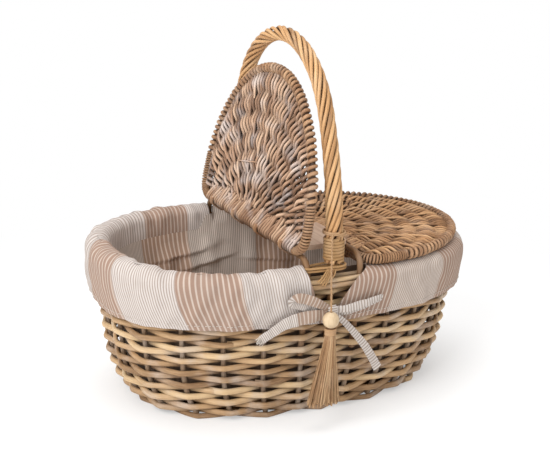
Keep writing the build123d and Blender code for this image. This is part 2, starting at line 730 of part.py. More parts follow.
def lid_frame():
    """Closed D of one bent rod in the lid's plane."""
    r, half = LID_CORNER_RADIUS, LID_EDGE_HALF
    side = (r, -LID_SIDE_CENTRE)
    corner = arc_points((r, half), r, math.pi, math.pi / 2, BEND_STEPS)
    flank = arc_points(side, LID_SIDE_RADIUS, math.pi / 2, math.pi / 2 - LID_JOIN, LID_SIDE_STEPS)
    rim = math.pi / 2 - LID_JOIN
    tip = arc_points((LID_TIP_CENTRE, 0), LID_TIP_RADIUS, rim, -rim, LID_TIP_STEPS)
    flanks = corner + flank[1:]
    points = flanks + tip[1:-1] + [(u, -y) for u, y in reversed(flanks)]
    return tube([(u, y, 0) for u, y in points], (0, 0, 1), LID_FRAME_RADIUS, ROD_SIDES, closed=True)


LID_INSET = LID_FRAME_RADIUS + LID_CLEARANCE
LID_START = LOOP_EDGE_REACH + LID_CLEARANCE
LID_RIB_RADII = [LID_FAN_RADIUS + LID_RIB_FIRST + i * LID_RIB_PITCH for i in range(LID_RIBS)]


def lid_rib(radius):
    """Curved rib across the lid, from one side of the frame to the other."""
    end_inset = LID_INSET + LID_RIB_RADIUS
    end = furthest(lambda t: inside_lid(*fan(radius, t), end_inset), 0, math.pi / 2)
    stations = []
    for i in range(LID_RIB_STEPS + 1):
        turn = end * (2 * i / LID_RIB_STEPS - 1)
        u, y = fan(radius, turn)
        along = (-math.sin(turn), math.cos(turn), 0)
        stations.append(((u, y, 0), (0, 0, 1), along, regular(LID_RIB_RADIUS, ROD_SIDES)))
    return rod(stations)


def lid_weaver(index):
    """Rod of the lid's fan, over one rib and under the next."""
    turn = math.radians(LID_FAN_HALF_ANGLE) * (2 * (index + 0.5) / LID_WEAVERS - 1)
    half = LID_WEAVER_WIDTH / 2
    edge_turn = math.atan2(half, LID_FAN_RADIUS)
    side = math.copysign(edge_turn, turn)
    start = (LID_FAN_RADIUS + LID_START) / math.cos(turn) + half * abs(math.tan(turn))
    high = LID_FAN_RADIUS + LID_LENGTH
    end = furthest(lambda r: inside_lid(*fan(r, turn + side), LID_INSET), start, high)
    end = min(end, furthest(lambda r: inside_lid(*fan(r, turn - side), LID_INSET), start, high))
    step = LID_RIB_RADIUS + (LID_WEAVER_THICKNESS / 2 + WEAVE_CLEARANCE)
    step /= 1 - 2 * LID_RIB_RADIUS / LID_RIB_PITCH
    near = LID_RIB_PITCH / 2
    line = []
    for i, r in enumerate(LID_RIB_RADII):
        if start - LID_RIB_RADIUS < r < end + LID_RIB_RADIUS:
            line.append((r, step if (i + index) % 2 else -step))
    first = line[0][1] if line[0][0] < start + near else 0.0
    last = line[-1][1] if line[-1][0] > end - near else 0.0
    line = [(start, first)] + [p for p in line if start < p[0] < end] + [(end, last)]
    thick = LID_WEAVER_THICKNESS / 2
    outline = [(r, z + thick) for r, z in line] + [(r, z - thick) for r, z in reversed(line)]
    across = Plane(origin=(-LID_FAN_RADIUS, 0, 0), x_dir=fan_direction(turn), z_dir=fan_side(turn))
    return extrude(across * polygon_face(outline), half, both=True)


def fan_direction(turn):
    return math.cos(turn), math.sin(turn), 0


def fan_side(turn):
    return math.sin(turn), -math.cos(turn), 0


def polygon_hull(places, sides):
    """Faceted outline drawn tight round (place, radius) rounds, none of them cut."""
    edges = []
    for place, radius in places:
        edges += (Location(place) * RegularPolygon(radius, sides, major_radius=False)).edges()
    return make_hull(edges)


def hinge_loop(y):
    """Cane loop round a lid's hinge edge and the bar that it swings on."""
    bar = (HINGE_BAR_X - LID_EDGE_X, HINGE_BAR_HEIGHT - LID_HEIGHT)
    reaches = ((bar, LOOP_BAR_REACH), ((0, 0), LOOP_EDGE_REACH))
    outer = polygon_hull(reaches, LOOP_SIDES)
    inner = polygon_hull([(at, reach - LOOP_THICKNESS) for at, reach in reaches], LOOP_SIDES)
    upright = Plane(origin=(0, y, 0), x_dir=(1, 0, 0), z_dir=(0, -1, 0))
    return extrude(upright * (outer - inner), LOOP_WIDTH / 2, both=True)


LID_PIECES = {
    "lid_frame": [lid_frame()],
    "lid_ribs": [lid_rib(r) for r in LID_RIB_RADII],
    "lid_weave": [lid_weaver(i) for i in range(LID_WEAVERS)],
    "lid_hinge_loops": [hinge_loop(y) for y in LOOP_PLACES],
}


def closed_lid(piece):
    return Pos(LID_EDGE_X, 0, LID_HEIGHT) * piece


def open_left_lid(piece):
    """The other lid: mirrored, and swung up about its own bar."""
    left = mirror(closed_lid(piece), about=Plane.YZ)
    return left.rotate(Axis((-HINGE_BAR_X, 0, HINGE_BAR_HEIGHT), (0, 1, 0)), LID_OPEN_ANGLE)


# Cloth liner

def liner_bag():
    """Cloth bag that lines the wall and floor: up the outside and down the inside of the cloth."""
    floor = BASE_TOP + LINER_FLOOR_GAP
    bends = [z for z in FOOT_LEVELS if z > floor + 2 * CLOTH_THICKNESS] + [LINER_TOP]
    levels = [(z, LINER_STEP) for z in [floor] + bends]
    inside = [(z, LINER_STEP + CLOTH_THICKNESS) for z in [floor + CLOTH_THICKNESS] + bends]
    levels += reversed(inside)
    sections = []
    for z, step in levels:
        a, b = half_axes(z)
        sections.append([(x, y, z) for x, y in oval_outline(a - step, b - step, LINER_SIDES)])
    return skin(sections)


def cuff_profile(top, hem_step, thickness):
    """Section of the turned-over cloth: step out from the stake line, and height."""
    inside = -LINER_STEP - CLOTH_THICKNESS + thickness
    crown = top - thickness
    shoulder = RIM_HEIGHT
    half_cap = BORDER_CAP_WIDTH / 2
    return [
        (inside, LINER_TOP + CANE_CLEARANCE),
        (inside, shoulder),
        (inside + half_cap, crown - CUFF_CROWN_DROP),
        (0, crown),
        (CUFF_CROWN_REACH, crown - CUFF_CROWN_DROP),
        (CUFF_BULGE - thickness, shoulder),
        ((CUFF_BULGE + hem_step) / 2 - thickness, (shoulder + CUFF_HEM) / 2),
        (hem_step - thickness, CUFF_HEM),
    ]


def cuff(side, rise):
    """Cloth turned out over one end of the rim, split at both handle feet."""
    turns, run = even_turns(CUFF_END_X, CUFF_STATIONS)
    sections = []
    for i, turn in enumerate(turns):
        x, y = oval(RIM_HALF_LENGTH, RIM_HALF_WIDTH, turn)
        nx, ny = oval_normal(RIM_HALF_LENGTH, RIM_HALF_WIDTH, x, y)
        far = min(i, CUFF_STATIONS - 1 - i) * run / (CUFF_STATIONS - 1)
        slant = CUFF_SLANT * max(0.0, 1 - far / CUFF_SLANT_RUN)
        toward = -slant if i > CUFF_STATIONS / 2 else slant
        wave = CUFF_FOLD_DEPTH * math.sin(2 * math.pi * CUFF_FOLDS * i / (CUFF_STATIONS - 1))
        top = CUFF_TOP + rise * (x - CUFF_END_X) / (RIM_HALF_LENGTH - CUFF_END_X)
        outline = cuff_profile(top, CUFF_HEM_STEP + wave, 0.0)
        outline += reversed(cuff_profile(top, CUFF_HEM_STEP + wave, CLOTH_THICKNESS))
        points = []
        for step, z in outline:
            drop = RIM_HEIGHT - z
            out = step - WALL_FLARE * drop
            slip = toward * (CUFF_TOP - z)
            points.append((x + nx * out + ny * slip, y + ny * out - nx * slip, z))
        sections.append([(side * px, py, pz) for px, py, pz in points])
    return skin(sections)


# Tie bows

def tie_ribbon(points):
    """Flat tape through points, straight down at first, its face turned to the wall."""
    stations = []
    for i, place in enumerate(points):
        ahead = Vector(*points[min(i + 1, len(points) - 1)])
        along = ahead - Vector(*points[i - 1]) if i else Vector(0, 0, -1)
        across = along.cross(Vector(0, 1, 0))
        stations.append((place, across, along, rectangle(TIE_WIDTH, TIE_THICKNESS)))
    return rod(stations)


def tie_loop(knot, tip):
    """Drawn-out loop of tape from the knot to its tip."""
    length = math.dist(knot, tip)
    ends = (((TIE_LOOP_NECK_RADIUS, 0), TIE_LOOP_NECK_RADIUS), ((length, 0), TIE_LOOP_TIP_RADIUS))
    outer = polygon_hull(ends, LOOP_SIDES)
    inner = polygon_hull([(at, radius - TIE_THICKNESS) for at, radius in ends], LOOP_SIDES)
    along = Vector(*tip) - Vector(*knot)
    upright = Plane(origin=knot, x_dir=along, z_dir=Vector(0, -1, 0))
    return extrude(upright * (outer - inner), TIE_LOOP_WIDTH / 2, both=True)


def tie_tail(start, end, sag):
    """Loose end of tape, drooping from the knot to its cut end."""
    points = []
    for i in range(TIE_TAIL_STEPS + 1):
        share = i / TIE_TAIL_STEPS
        x = start[0] + (end[0] - start[0]) * share
        points.append((x, start[1], start[2] + (end[2] - start[2]) * share**sag))
    return tie_ribbon(points)


def tie_bow():
    """Bow over the front split: knot, two loops and two tails."""
    wall = half_axes(TIE_HEIGHT)[1] + TIE_STEP
    y = -wall - TIE_KNOT_DEPTH / 2
    loop_y = -wall - TIE_LOOP_WIDTH / 2
    knot = Box(TIE_KNOT_LENGTH, TIE_KNOT_DEPTH, TIE_KNOT_HEIGHT)
    bow = [Pos(TIE_X, y, TIE_HEIGHT) * chamfer(knot.edges(), TIE_THICKNESS)]
    half = TIE_KNOT_LENGTH / 2 + TIE_GAP
    loop_height = TIE_HEIGHT + TIE_KNOT_HEIGHT / 4
    tail_height = TIE_HEIGHT - TIE_KNOT_HEIGHT / 2 - TIE_GAP
    loops = [
        (-1, TIE_LEFT_LOOP_REACH, TIE_LEFT_LOOP_RISE),
        (1, TIE_RIGHT_LOOP_REACH, TIE_RIGHT_LOOP_RISE),
    ]
    for side, reach, rise in loops:
        neck = (TIE_X + side * half, loop_y, loop_height)
        bow.append(tie_loop(neck, (TIE_X + side * reach, loop_y, TIE_HEIGHT + rise)))
    tails = [
        (-1, TIE_LEFT_TAIL_REACH, TIE_LEFT_TAIL_DROP, TIE_LEFT_TAIL_SAG),
        (1, TIE_RIGHT_TAIL_REACH, TIE_RIGHT_TAIL_DROP, TIE_RIGHT_TAIL_SAG),
    ]
    for side, reach, drop, sag in tails:
        layer = y + side * TIE_KNOT_DEPTH / 4
        start = (TIE_X, layer, tail_height)
        bow.append(tie_tail(start, (TIE_X + side * reach, layer, TIE_HEIGHT - drop), sag))
    return bow


# Tassel

def tassel_cord():
    radii = []
    for p, q, r in zip(CORD_POINTS, CORD_POINTS[1:], CORD_POINTS[2:]):
        before = Vector(*q) - Vector(*p)
        after = Vector(*r) - Vector(*q)
        turn = math.radians(before.get_angle(after))
        radii.append(CORD_BEND_SHARE * min(before.length, after.length) / math.tan(turn / 2))
    print("cord bend radii", [round(r, 1) for r in radii])
    path = FilletPolyline(*CORD_POINTS, radius=radii)
    start = Plane(origin=path @ 0, z_dir=path % 0)
    section = RegularPolygon(CORD_RADIUS, CORD_SIDES)
    tube = sweep(start * section, path=path)
    full = section.area * path.length
    print("cord length", round(path.length, 1), "volume", round(tube.volume, 1), "of", round(full, 1))
    return tube


def turned(x, y, sections, closed=False):
    """Faceted round piece through (height, half width, half depth) sections."""
    rings = []
    for z, wide, deep in sections:
        rings.append([(x + wide * px, y + deep * py, z) for px, py in regular(1, ROUND_SIDES)])
    return skin(rings, closed)


TASSEL_X, TASSEL_Y, _ = CORD_POINTS[-1]
NECK_TOP = BEAD_HEIGHT - BEAD_RADIUS * math.cos(math.pi / ROUND_SIDES) - CANE_CLEARANCE


def tassel_bead():
    """Wooden bead, bored for the cord."""
    sections = []
    for i in range(ROUND_SIDES // 2):
        turn = math.pi * ((i + 0.5) / (ROUND_SIDES // 2) - 0.5)
        wide = BEAD_RADIUS * math.cos(turn)
        sections.append((BEAD_HEIGHT + BEAD_RADIUS * math.sin(turn), wide, wide))
    bore = [(z, BEAD_BORE, BEAD_BORE) for z in (sections[-1][0], sections[0][0])]
    return turned(TASSEL_X, TASSEL_Y, sections + bore, closed=True)


def tassel_neck():
    """Bound head of the tassel under the bead."""
    radii = (NECK_END_RADIUS, NECK_RADIUS, NECK_END_RADIUS)
    sections = [(NECK_TOP - NECK_HEIGHT * (1 - i / 2), r, r) for i, r in enumerate(radii)]
    return turned(TASSEL_X, TASSEL_Y, sections)


def tassel_skirt():
    """Hanging yarn, spread towards its cut end."""
    top = NECK_TOP - NECK_HEIGHT - CANE_CLEARANCE
    sections = []
    for i in range(SKIRT_SECTIONS + 1):
        share = 1 - i / SKIRT_SECTIONS
        flare = share**SKIRT_FLARE_POWER
        wide = NECK_RADIUS + (SKIRT_HALF_WIDTH - NECK_RADIUS) * flare
        deep = NECK_RADIUS + (SKIRT_HALF_DEPTH - NECK_RADIUS) * flare
        sections.append((top - SKIRT_HEIGHT * share, wide, deep))
    return turned(TASSEL_X, TASSEL_Y, sections)


os.makedirs("parts", exist_ok=True)
half_rows = WEAVE_ROWS // 2
save("base_long_sticks", [long_stick(i) for i in range(LONG_STICKS)])
save("base_cross_sticks", [cross_stick(i) for i in range(CROSS_STICKS)])
save("base_under_weave", base_rings(0))
save("base_over_weave", base_rings(OVER_LEVEL))
save("side_stakes", [stake(s) for s in STATIONS])
save("lower_side_weave", [weave_row(r) for r in range(half_rows)])
save("upper_side_weave", [weave_row(r) for r in range(half_rows, WEAVE_ROWS)])
save("rim_border", border())
save("handle_core", [handle_core()])
save("handle_strands", [handle_strand(i) for i in range(STRAND_COUNT)])
for place, side in (("front", -1), ("back", 1)):
    save(f"{place}_handle_collar", [collar(side)])
    save(f"{place}_post_lashing", [lashing(side)])
for place, side in (("left", -1), ("right", 1)):
    save(f"{place}_hinge_bow", [hinge_bow(side)])
save("bridge_board", [bridge()])
for name, pieces in LID_PIECES.items():
    save(f"right_{name}", [closed_lid(p) for p in pieces])
    save(f"left_{name}", [open_left_lid(p) for p in pieces])
save("liner_bag", [liner_bag()])
save("liner_cuff_left", [cuff(-1, CUFF_LEFT_RISE)])
save("liner_cuff_right", [cuff(1, 0.0)])
bow = tie_bow()
save("front_tie_bow", bow)
save("back_tie_bow", [piece.rotate(Axis.Z, 180) for piece in bow])
save("tassel_hitch", [hitch()])
save("tassel_cord", [tassel_cord()])
save("tassel_bead", [tassel_bead()])
save("tassel_neck", [tassel_neck()])
save("tassel_skirt", [tassel_skirt()])
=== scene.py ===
"""Oval willow picnic basket with two half lids, a roped handle and a cloth liner.

Sizes are millimetres in the frame of the part: +Z is up, the handle arches over
the Y axis and the photograph looks at the -Y side. Finishes and studio are in metres.
"""

from __future__ import annotations

import json
import logging
import math
from abc import ABC, abstractmethod
from dataclasses import dataclass, field
from enum import Enum

import bpy
import numpy as np
from mathutils import Matrix, Vector
from mathutils.kdtree import KDTree

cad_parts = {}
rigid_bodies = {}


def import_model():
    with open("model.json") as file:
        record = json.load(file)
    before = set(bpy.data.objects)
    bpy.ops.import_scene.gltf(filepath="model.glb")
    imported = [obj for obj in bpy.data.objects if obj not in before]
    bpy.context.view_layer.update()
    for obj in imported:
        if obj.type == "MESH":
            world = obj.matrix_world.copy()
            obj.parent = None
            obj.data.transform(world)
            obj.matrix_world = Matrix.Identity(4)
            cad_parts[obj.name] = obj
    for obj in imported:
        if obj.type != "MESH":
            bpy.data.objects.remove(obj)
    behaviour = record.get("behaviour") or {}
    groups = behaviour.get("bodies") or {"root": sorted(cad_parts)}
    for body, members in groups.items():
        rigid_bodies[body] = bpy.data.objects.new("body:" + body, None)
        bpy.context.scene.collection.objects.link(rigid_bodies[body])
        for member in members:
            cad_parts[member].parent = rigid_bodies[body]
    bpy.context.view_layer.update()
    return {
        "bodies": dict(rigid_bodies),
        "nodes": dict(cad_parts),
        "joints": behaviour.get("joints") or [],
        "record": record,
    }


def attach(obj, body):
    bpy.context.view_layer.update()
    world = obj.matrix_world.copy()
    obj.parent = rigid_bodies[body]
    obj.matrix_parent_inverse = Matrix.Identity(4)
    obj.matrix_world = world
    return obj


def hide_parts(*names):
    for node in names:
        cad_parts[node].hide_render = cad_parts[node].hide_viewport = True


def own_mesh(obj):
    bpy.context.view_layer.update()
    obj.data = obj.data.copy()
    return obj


LOG = logging.getLogger("basket")
MM = 0.001
Array = np.ndarray
Node = bpy.types.Node
Socket = bpy.types.NodeSocket
Piece = bpy.types.Object
Colour = tuple[float, float, float]
Spot = tuple[float, float, float]
Pair = tuple[float, float]
Numbers = tuple[float, ...]

SEED = 20
ROUNDNESS = 2.5
POST_X = 28.6
POST_RADIUS = 3.0
LEG_FOOT = 63.25
LEG_RADIUS = 3.1
STAKE_RADIUS = 2.6
ROW_COUNT = 20
ROW_FOOT = 8.0
ROW_PITCH = 6.5
END_STAKES = 10
ROLL_TOP = 152.2


class Body(Enum):
    """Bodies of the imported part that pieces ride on."""

    BASKET = "basket"
    LEFT_LID = "left_lid"
    RIGHT_LID = "right_lid"
    TASSEL = "tassel"


class Side(Enum):
    """End of the basket that a lid or a cuff belongs to."""

    LEFT = -1
    RIGHT = 1


class Lay(Enum):
    """How a rod's cross-section is turned along its path."""

    LEVEL = "Z_UP"
    FREE = "MINIMUM_TWIST"


def linear(red: int, green: int, blue: int) -> Colour:
    """Turn an 8-bit sRGB colour into scene-linear numbers."""
    shares = [value / 255 for value in (red, green, blue)]
    return tuple(s / 12.92 if s < 0.04045 else ((s + 0.055) / 1.055) ** 2.4 for s in shares)


def shades(*colours: tuple[int, int, int]) -> tuple[Colour, ...]:
    """Turn several 8-bit sRGB colours into scene-linear numbers."""
    return tuple(linear(*colour) for colour in colours)


def clamp(value: float) -> float:
    """Keep a number between 0 and 1."""
    return min(1.0, max(0.0, value))


def unit(rows: Array) -> Array:
    """Scale every row to length 1."""
    return rows / np.linalg.norm(rows, axis=1)[:, None]


def walked(line: Array) -> Array:
    """Distance along a line at each of its points."""
    return np.concatenate([[0], np.cumsum(np.linalg.norm(np.diff(line, axis=0), axis=1))])


def pick(at: Array, run: Array, line: Array) -> Array:
    """Read a line, whose points lie at the distances of run, at other distances."""
    return np.stack([np.interp(at, run, line[:, k]) for k in range(line.shape[1])], axis=-1)


def even(line: Array, count: int) -> Array:
    """Read a line at evenly spaced distances."""
    run = walked(line)
    return pick(np.linspace(0, run[-1], count), run, line)


def smooth(points: list[Numbers] | tuple[Numbers, ...], count: int) -> Array:
    """Run a Catmull-Rom curve through points.

    Args:
        points: Points the curve passes, of any dimension.
        count: Number of samples, evenly spaced along the curve.

    Returns:
        The samples as an array of shape (count, dimension).
    """
    knots = np.asarray(points, float)
    ends = np.vstack([2 * knots[0] - knots[1], knots, 2 * knots[-1] - knots[-2]])
    t = np.linspace(0, 1, 17)[:-1, None]
    pieces = []
    for i in range(len(knots) - 1):
        a, b, c, d = ends[i : i + 4]
        bend = 2 * a - 5 * b + 4 * c - d
        swing = 3 * b - a - 3 * c + d
        pieces.append(0.5 * (2 * b + (c - a) * t + bend * t**2 + swing * t**3))
    return even(np.vstack(pieces + [knots[-1:]]), count)


def crossing(share: Array, kink: float) -> Array:
    """Way of a weaver from one face to the other, 1 to -1, bent more sharply by a kink near 1."""
    return np.arcsin(kink * np.cos(math.pi * share)) / math.asin(kink)


@dataclass
class Waves:
    """Seeded sum of slanting sine waves that wrinkles cloth and bends rods."""

    seed: int
    shortest: float
    longest: float
    slant: float = 0.0
    count: int = 7
    table: Array = field(init=False)

    def __post_init__(self) -> None:
        """Draw the waves' lengths, slants and phases."""
        rng = np.random.default_rng(self.seed)
        lengths = np.geomspace(self.shortest, self.longest, self.count)
        lengths = lengths * rng.uniform(0.85, 1.15, self.count)
        slants = rng.uniform(-1, 1, self.count) * self.slant
        phases = rng.uniform(0, 2 * math.pi, self.count)
        self.table = np.stack([lengths, slants, phases], axis=1)

    def at(self, along: Array, across: Array | float = 0.0) -> Array:
        """Height of the waves, about -1 to 1.

        Args:
            along: Distance along the cloth or rod.
            across: Distance across it.

        Returns:
            One height for each pair of distances.
        """
        along = np.asarray(along, float)
        total = np.zeros(np.broadcast(along, across).shape)
        for length, slant, phase in self.table:
            total = total + np.sin(2 * math.pi * (along + slant * across) / length + phase)
        return total / math.sqrt(self.count)


class OvalLine:
    """Closed oval with its arc length, walked anticlockwise from the front middle."""

    def __init__(self, half_length: float, half_width: float, steps: int = 2400) -> None:
        """Sample the oval.

        Args:
            half_length: Half of the oval along X.
            half_width: Half of the oval along Y.
            steps: Number of samples.
        """
        self.turns = np.linspace(-math.pi / 2, 1.5 * math.pi, steps + 1)
        cos, sin = np.cos(self.turns), np.sin(self.turns)
        power, slope = 2 / ROUNDNESS, ROUNDNESS - 1
        x = np.sign(cos) * half_length * np.abs(cos) ** power
        y = np.sign(sin) * half_width * np.abs(sin) ** power
        nx = np.sign(cos) * (np.abs(x) / half_length) ** slope / half_length
        ny = np.sign(sin) * (np.abs(y) / half_width) ** slope / half_width
        size = np.hypot(nx, ny)
        self.places = np.stack([x, y], axis=1)
        self.normals = np.stack([nx / size, ny / size], axis=1)
        self.arcs = walked(self.places)
        self.length = float(self.arcs[-1])

    def arc_of(self, turn: float) -> float:
        """Arc length at a turn, which may lie past a full turn."""
        laps, rest = divmod(turn + math.pi / 2, 2 * math.pi)
        return laps * self.length + float(np.interp(rest - math.pi / 2, self.turns, self.arcs))

    def turn_of(self, arc: float) -> float:
        """Turn at an arc length within one lap."""
        return float(np.interp(arc, self.arcs, self.turns))

    def at(self, arc: Array, out: Array | float = 0.0) -> Array:
        """Points on the oval, moved outwards along its normal.

        Args:
            arc: Arc lengths, of any lap.
            out: Distance outwards.

        Returns:
            Array of shape (count, 2).
        """
        arc = np.mod(np.asarray(arc, float), self.length)
        out = np.broadcast_to(np.asarray(out, float), arc.shape)
        place, normal = (pick(arc, self.arcs, rows) for rows in (self.places, self.normals))
        return place + normal * out[..., None]


@dataclass(frozen=True)
class WallShape:
    """Line of the stakes: an oval that leans outwards and curves in at the foot."""

    half_length: float = 188.0
    half_width: float = 121.0
    rim: float = 143.0
    flare: float = 0.115
    foot_height: float = 57.0
    foot_power: float = 1.75
    foot_inset: Pair = (25.0, 6.0)
    leg_span: float = 116.8
    leg_level: float = 132.05

    def half_axes(self, z: float) -> Pair:
        """Half length and half width of the stake line at a height.

        Args:
            z: The height.

        Returns:
            Both halves.
        """
        rise = max(0.0, 1 - z / self.foot_height)
        curve = 1 - (1 - rise**self.foot_power) ** (1 / self.foot_power)
        lean = self.flare * (self.rim - z)
        inset = [lean + share * curve for share in self.foot_inset]
        return self.half_length - inset[0], self.half_width - inset[1]

    def line(self, z: float) -> OvalLine:
        """Stake line at a height."""
        return OvalLine(*self.half_axes(z))

    def leg_half_span(self, z: float) -> float:
        """Distance of a handle leg from the middle at a height inside the wall."""
        return self.leg_span + self.flare * (z - self.leg_level)

    def post_turn(self, z: float) -> float:
        """Turn of the hinge post on the right, counted from +X."""
        return math.acos((POST_X / self.half_axes(z)[0]) ** (ROUNDNESS / 2))

    def stations(self, z: float) -> list[Numbers]:
        """Stakes, posts and legs that a row passes, in the order of the walk.

        Args:
            z: Height of the row.

        Returns:
            A turn, an outward shift and a radius for each station.
        """
        rim_line = self.line(self.rim)
        post = self.post_turn(self.rim)
        arcs = np.linspace(rim_line.arc_of(-post), rim_line.arc_of(post), END_STAKES + 2)
        turns = [rim_line.turn_of(arc) for arc in arcs]
        free = z > LEG_FOOT
        if free:
            turns[0], turns[-1] = -self.post_turn(z), self.post_turn(z)
        shift = self.leg_half_span(z) - self.half_axes(z)[1] if free else 0.0
        half = [(-math.pi / 2, shift, LEG_RADIUS if free else STAKE_RADIUS)]
        for i, turn in enumerate(turns):
            at_post = free and i in (0, END_STAKES + 1)
            half.append((turn, 0.0, POST_RADIUS if at_post else STAKE_RADIUS))
        return half + [(turn + math.pi, out, radius) for turn, out, radius in half]


SHAPE = WallShape()


@dataclass
class Rod:
    """One rod, cane, strand or yarn: a path with its girth, its own shade of colour and its painted shade.
    """

    points: Array
    girth: Array | float
    shade: float
    # tuck: painted shade, how much darker the rod is drawn where it lies in shade
    tuck: Array | float = 0.0
    closed: bool = False


class NodeBook:
    """Short way to write a node tree."""

    def __init__(self, tree: bpy.types.NodeTree) -> None:
        """Keep the tree."""
        self.tree = tree

    def add(self, kind: str, **settings: object) -> Node:
        """Add a node.

        Args:
            kind: The node's type name.
            settings: Properties to set on it.

        Returns:
            The new node.
        """
        node = self.tree.nodes.new(kind)
        for name, value in settings.items():
            setattr(node, name, value)
        return node

    def after(self, source: Node, kind: str, **settings: object) -> Node:
        """Add a node that takes another's first output as its first input.

        Args:
            source: The node before it.
            kind: The new node's type name.
            settings: Properties to set on it.

        Returns:
            The new node.
        """
        node = self.add(kind, **settings)
        self.join(source.outputs[0], node.inputs[0])
        return node

    def join(self, source: Socket, target: Socket) -> None:
        """Link two sockets."""
        self.tree.links.new(source, target)

    def math(self, operation: str, *values: object) -> Socket:
        """Add a math node.

        Args:
            operation: Name of the operation.
            values: Sockets or numbers it works on.

        Returns:
            Its result.
        """
        node = self.add("ShaderNodeMath", operation=operation)
        for socket, value in zip(node.inputs, values):
            self._feed(socket, value)
        return node.outputs[0]

    def mix(self, share: object, first: object, second: object) -> Socket:
        """Mix two colours.

        Args:
            share: Socket or number, 0 for the first colour and 1 for the second.
            first: Socket or colour.
            second: Socket or colour.

        Returns:
            The mixed colour.
        """
        node = self.add("ShaderNodeMix", data_type="RGBA")
        self._feed(node.inputs[0], share)
        self._feed(node.inputs[6], first)
        self._feed(node.inputs[7], second)
        return node.outputs[2]

    def step(self, value: object, low: float, high: float) -> Socket:
        """Smooth step from 0 at low to 1 at high.

        Args:
            value: Socket or number.
            low: Where the step starts.
            high: Where it ends.

        Returns:
            The step.
        """
        node = self.add("ShaderNodeMapRange", interpolation_type="SMOOTHSTEP")
        self._feed(node.inputs[0], value)
        node.inputs[1].default_value = low
        node.inputs[2].default_value = high
        return node.outputs[0]

    def fade(self, value: object, low: float, high: float) -> Socket:
        """Smooth step from 1 at low to 0 at high."""
        return self.math("SUBTRACT", 1.0, self.step(value, low, high))

    def blend(self, *sources: Socket, output: Node) -> None:
        """Mix two shaders into an output.

        Args:
            sources: The second shader's share, the first shader and the second one.
            output: The node that takes the mix.
        """
        node = self.add("ShaderNodeMixShader")
        for source, socket in zip(sources, node.inputs):
            self.join(source, socket)
        self.join(node.outputs[0], output.inputs[0])

    def noise(self, vector: object, scale: float, detail: float, turn: object = 0.0) -> Socket:
        """Add noise.

        Args:
            vector: Socket with the place.
            scale: Scale of the noise.
            detail: Octaves.
            turn: Fourth coordinate, a socket or a number.

        Returns:
            The noise, about 0.2 to 0.8.
        """
        node = self.add("ShaderNodeTexNoise", noise_dimensions="4D")
        self.join(vector, node.inputs["Vector"])
        self._feed(node.inputs["W"], turn)
        node.inputs["Scale"].default_value = scale
        node.inputs["Detail"].default_value = detail
        return node.outputs[0]

    def attribute(self, name: str) -> Node:
        """Read a mesh attribute."""
        return self.add("ShaderNodeAttribute", attribute_name=name)

    def _feed(self, socket: Socket, value: object) -> None:
        """Link a socket or set its number or colour.

        Args:
            socket: The input to feed.
            value: Socket, number or colour.
        """
        if isinstance(value, Socket):
            self.join(value, socket)
        elif isinstance(value, tuple):
            socket.default_value = (*value, 1.0)
        else:
            socket.default_value = value


class Finish(ABC):
    """A procedural surface."""

    name: str

    def material(self) -> bpy.types.Material:
        """Make the material once and give the same one after that.

        Returns:
            The material.
        """
        known = bpy.data.materials.get(self.name)
        if known is not None:
            return known
        made = bpy.data.materials.new(self.name)
        made.use_nodes = True
        book = NodeBook(made.node_tree)
        shader = made.node_tree.nodes["Principled BSDF"]
        shader.inputs["Specular IOR Level"].default_value = 0.3
        self.paint(book, shader)
        return made

    @abstractmethod
    def paint(self, book: NodeBook, shader: Node) -> None:
        """Write the finish's nodes."""

    @staticmethod
    def bump(book: NodeBook, shader: Node, height: Socket, depth: float) -> None:
        """Give the shader a bump.

        Args:
            book: The node tree.
            shader: The shader to bump.
            height: Height, about 0 to 1.
            depth: Depth of the bump in metres.
        """
        node = book.add("ShaderNodeBump")
        node.inputs["Strength"].default_value = 0.8
        node.inputs["Distance"].default_value = depth
        book.join(height, node.inputs["Height"])
        book.join(node.outputs["Normal"], shader.inputs["Normal"])


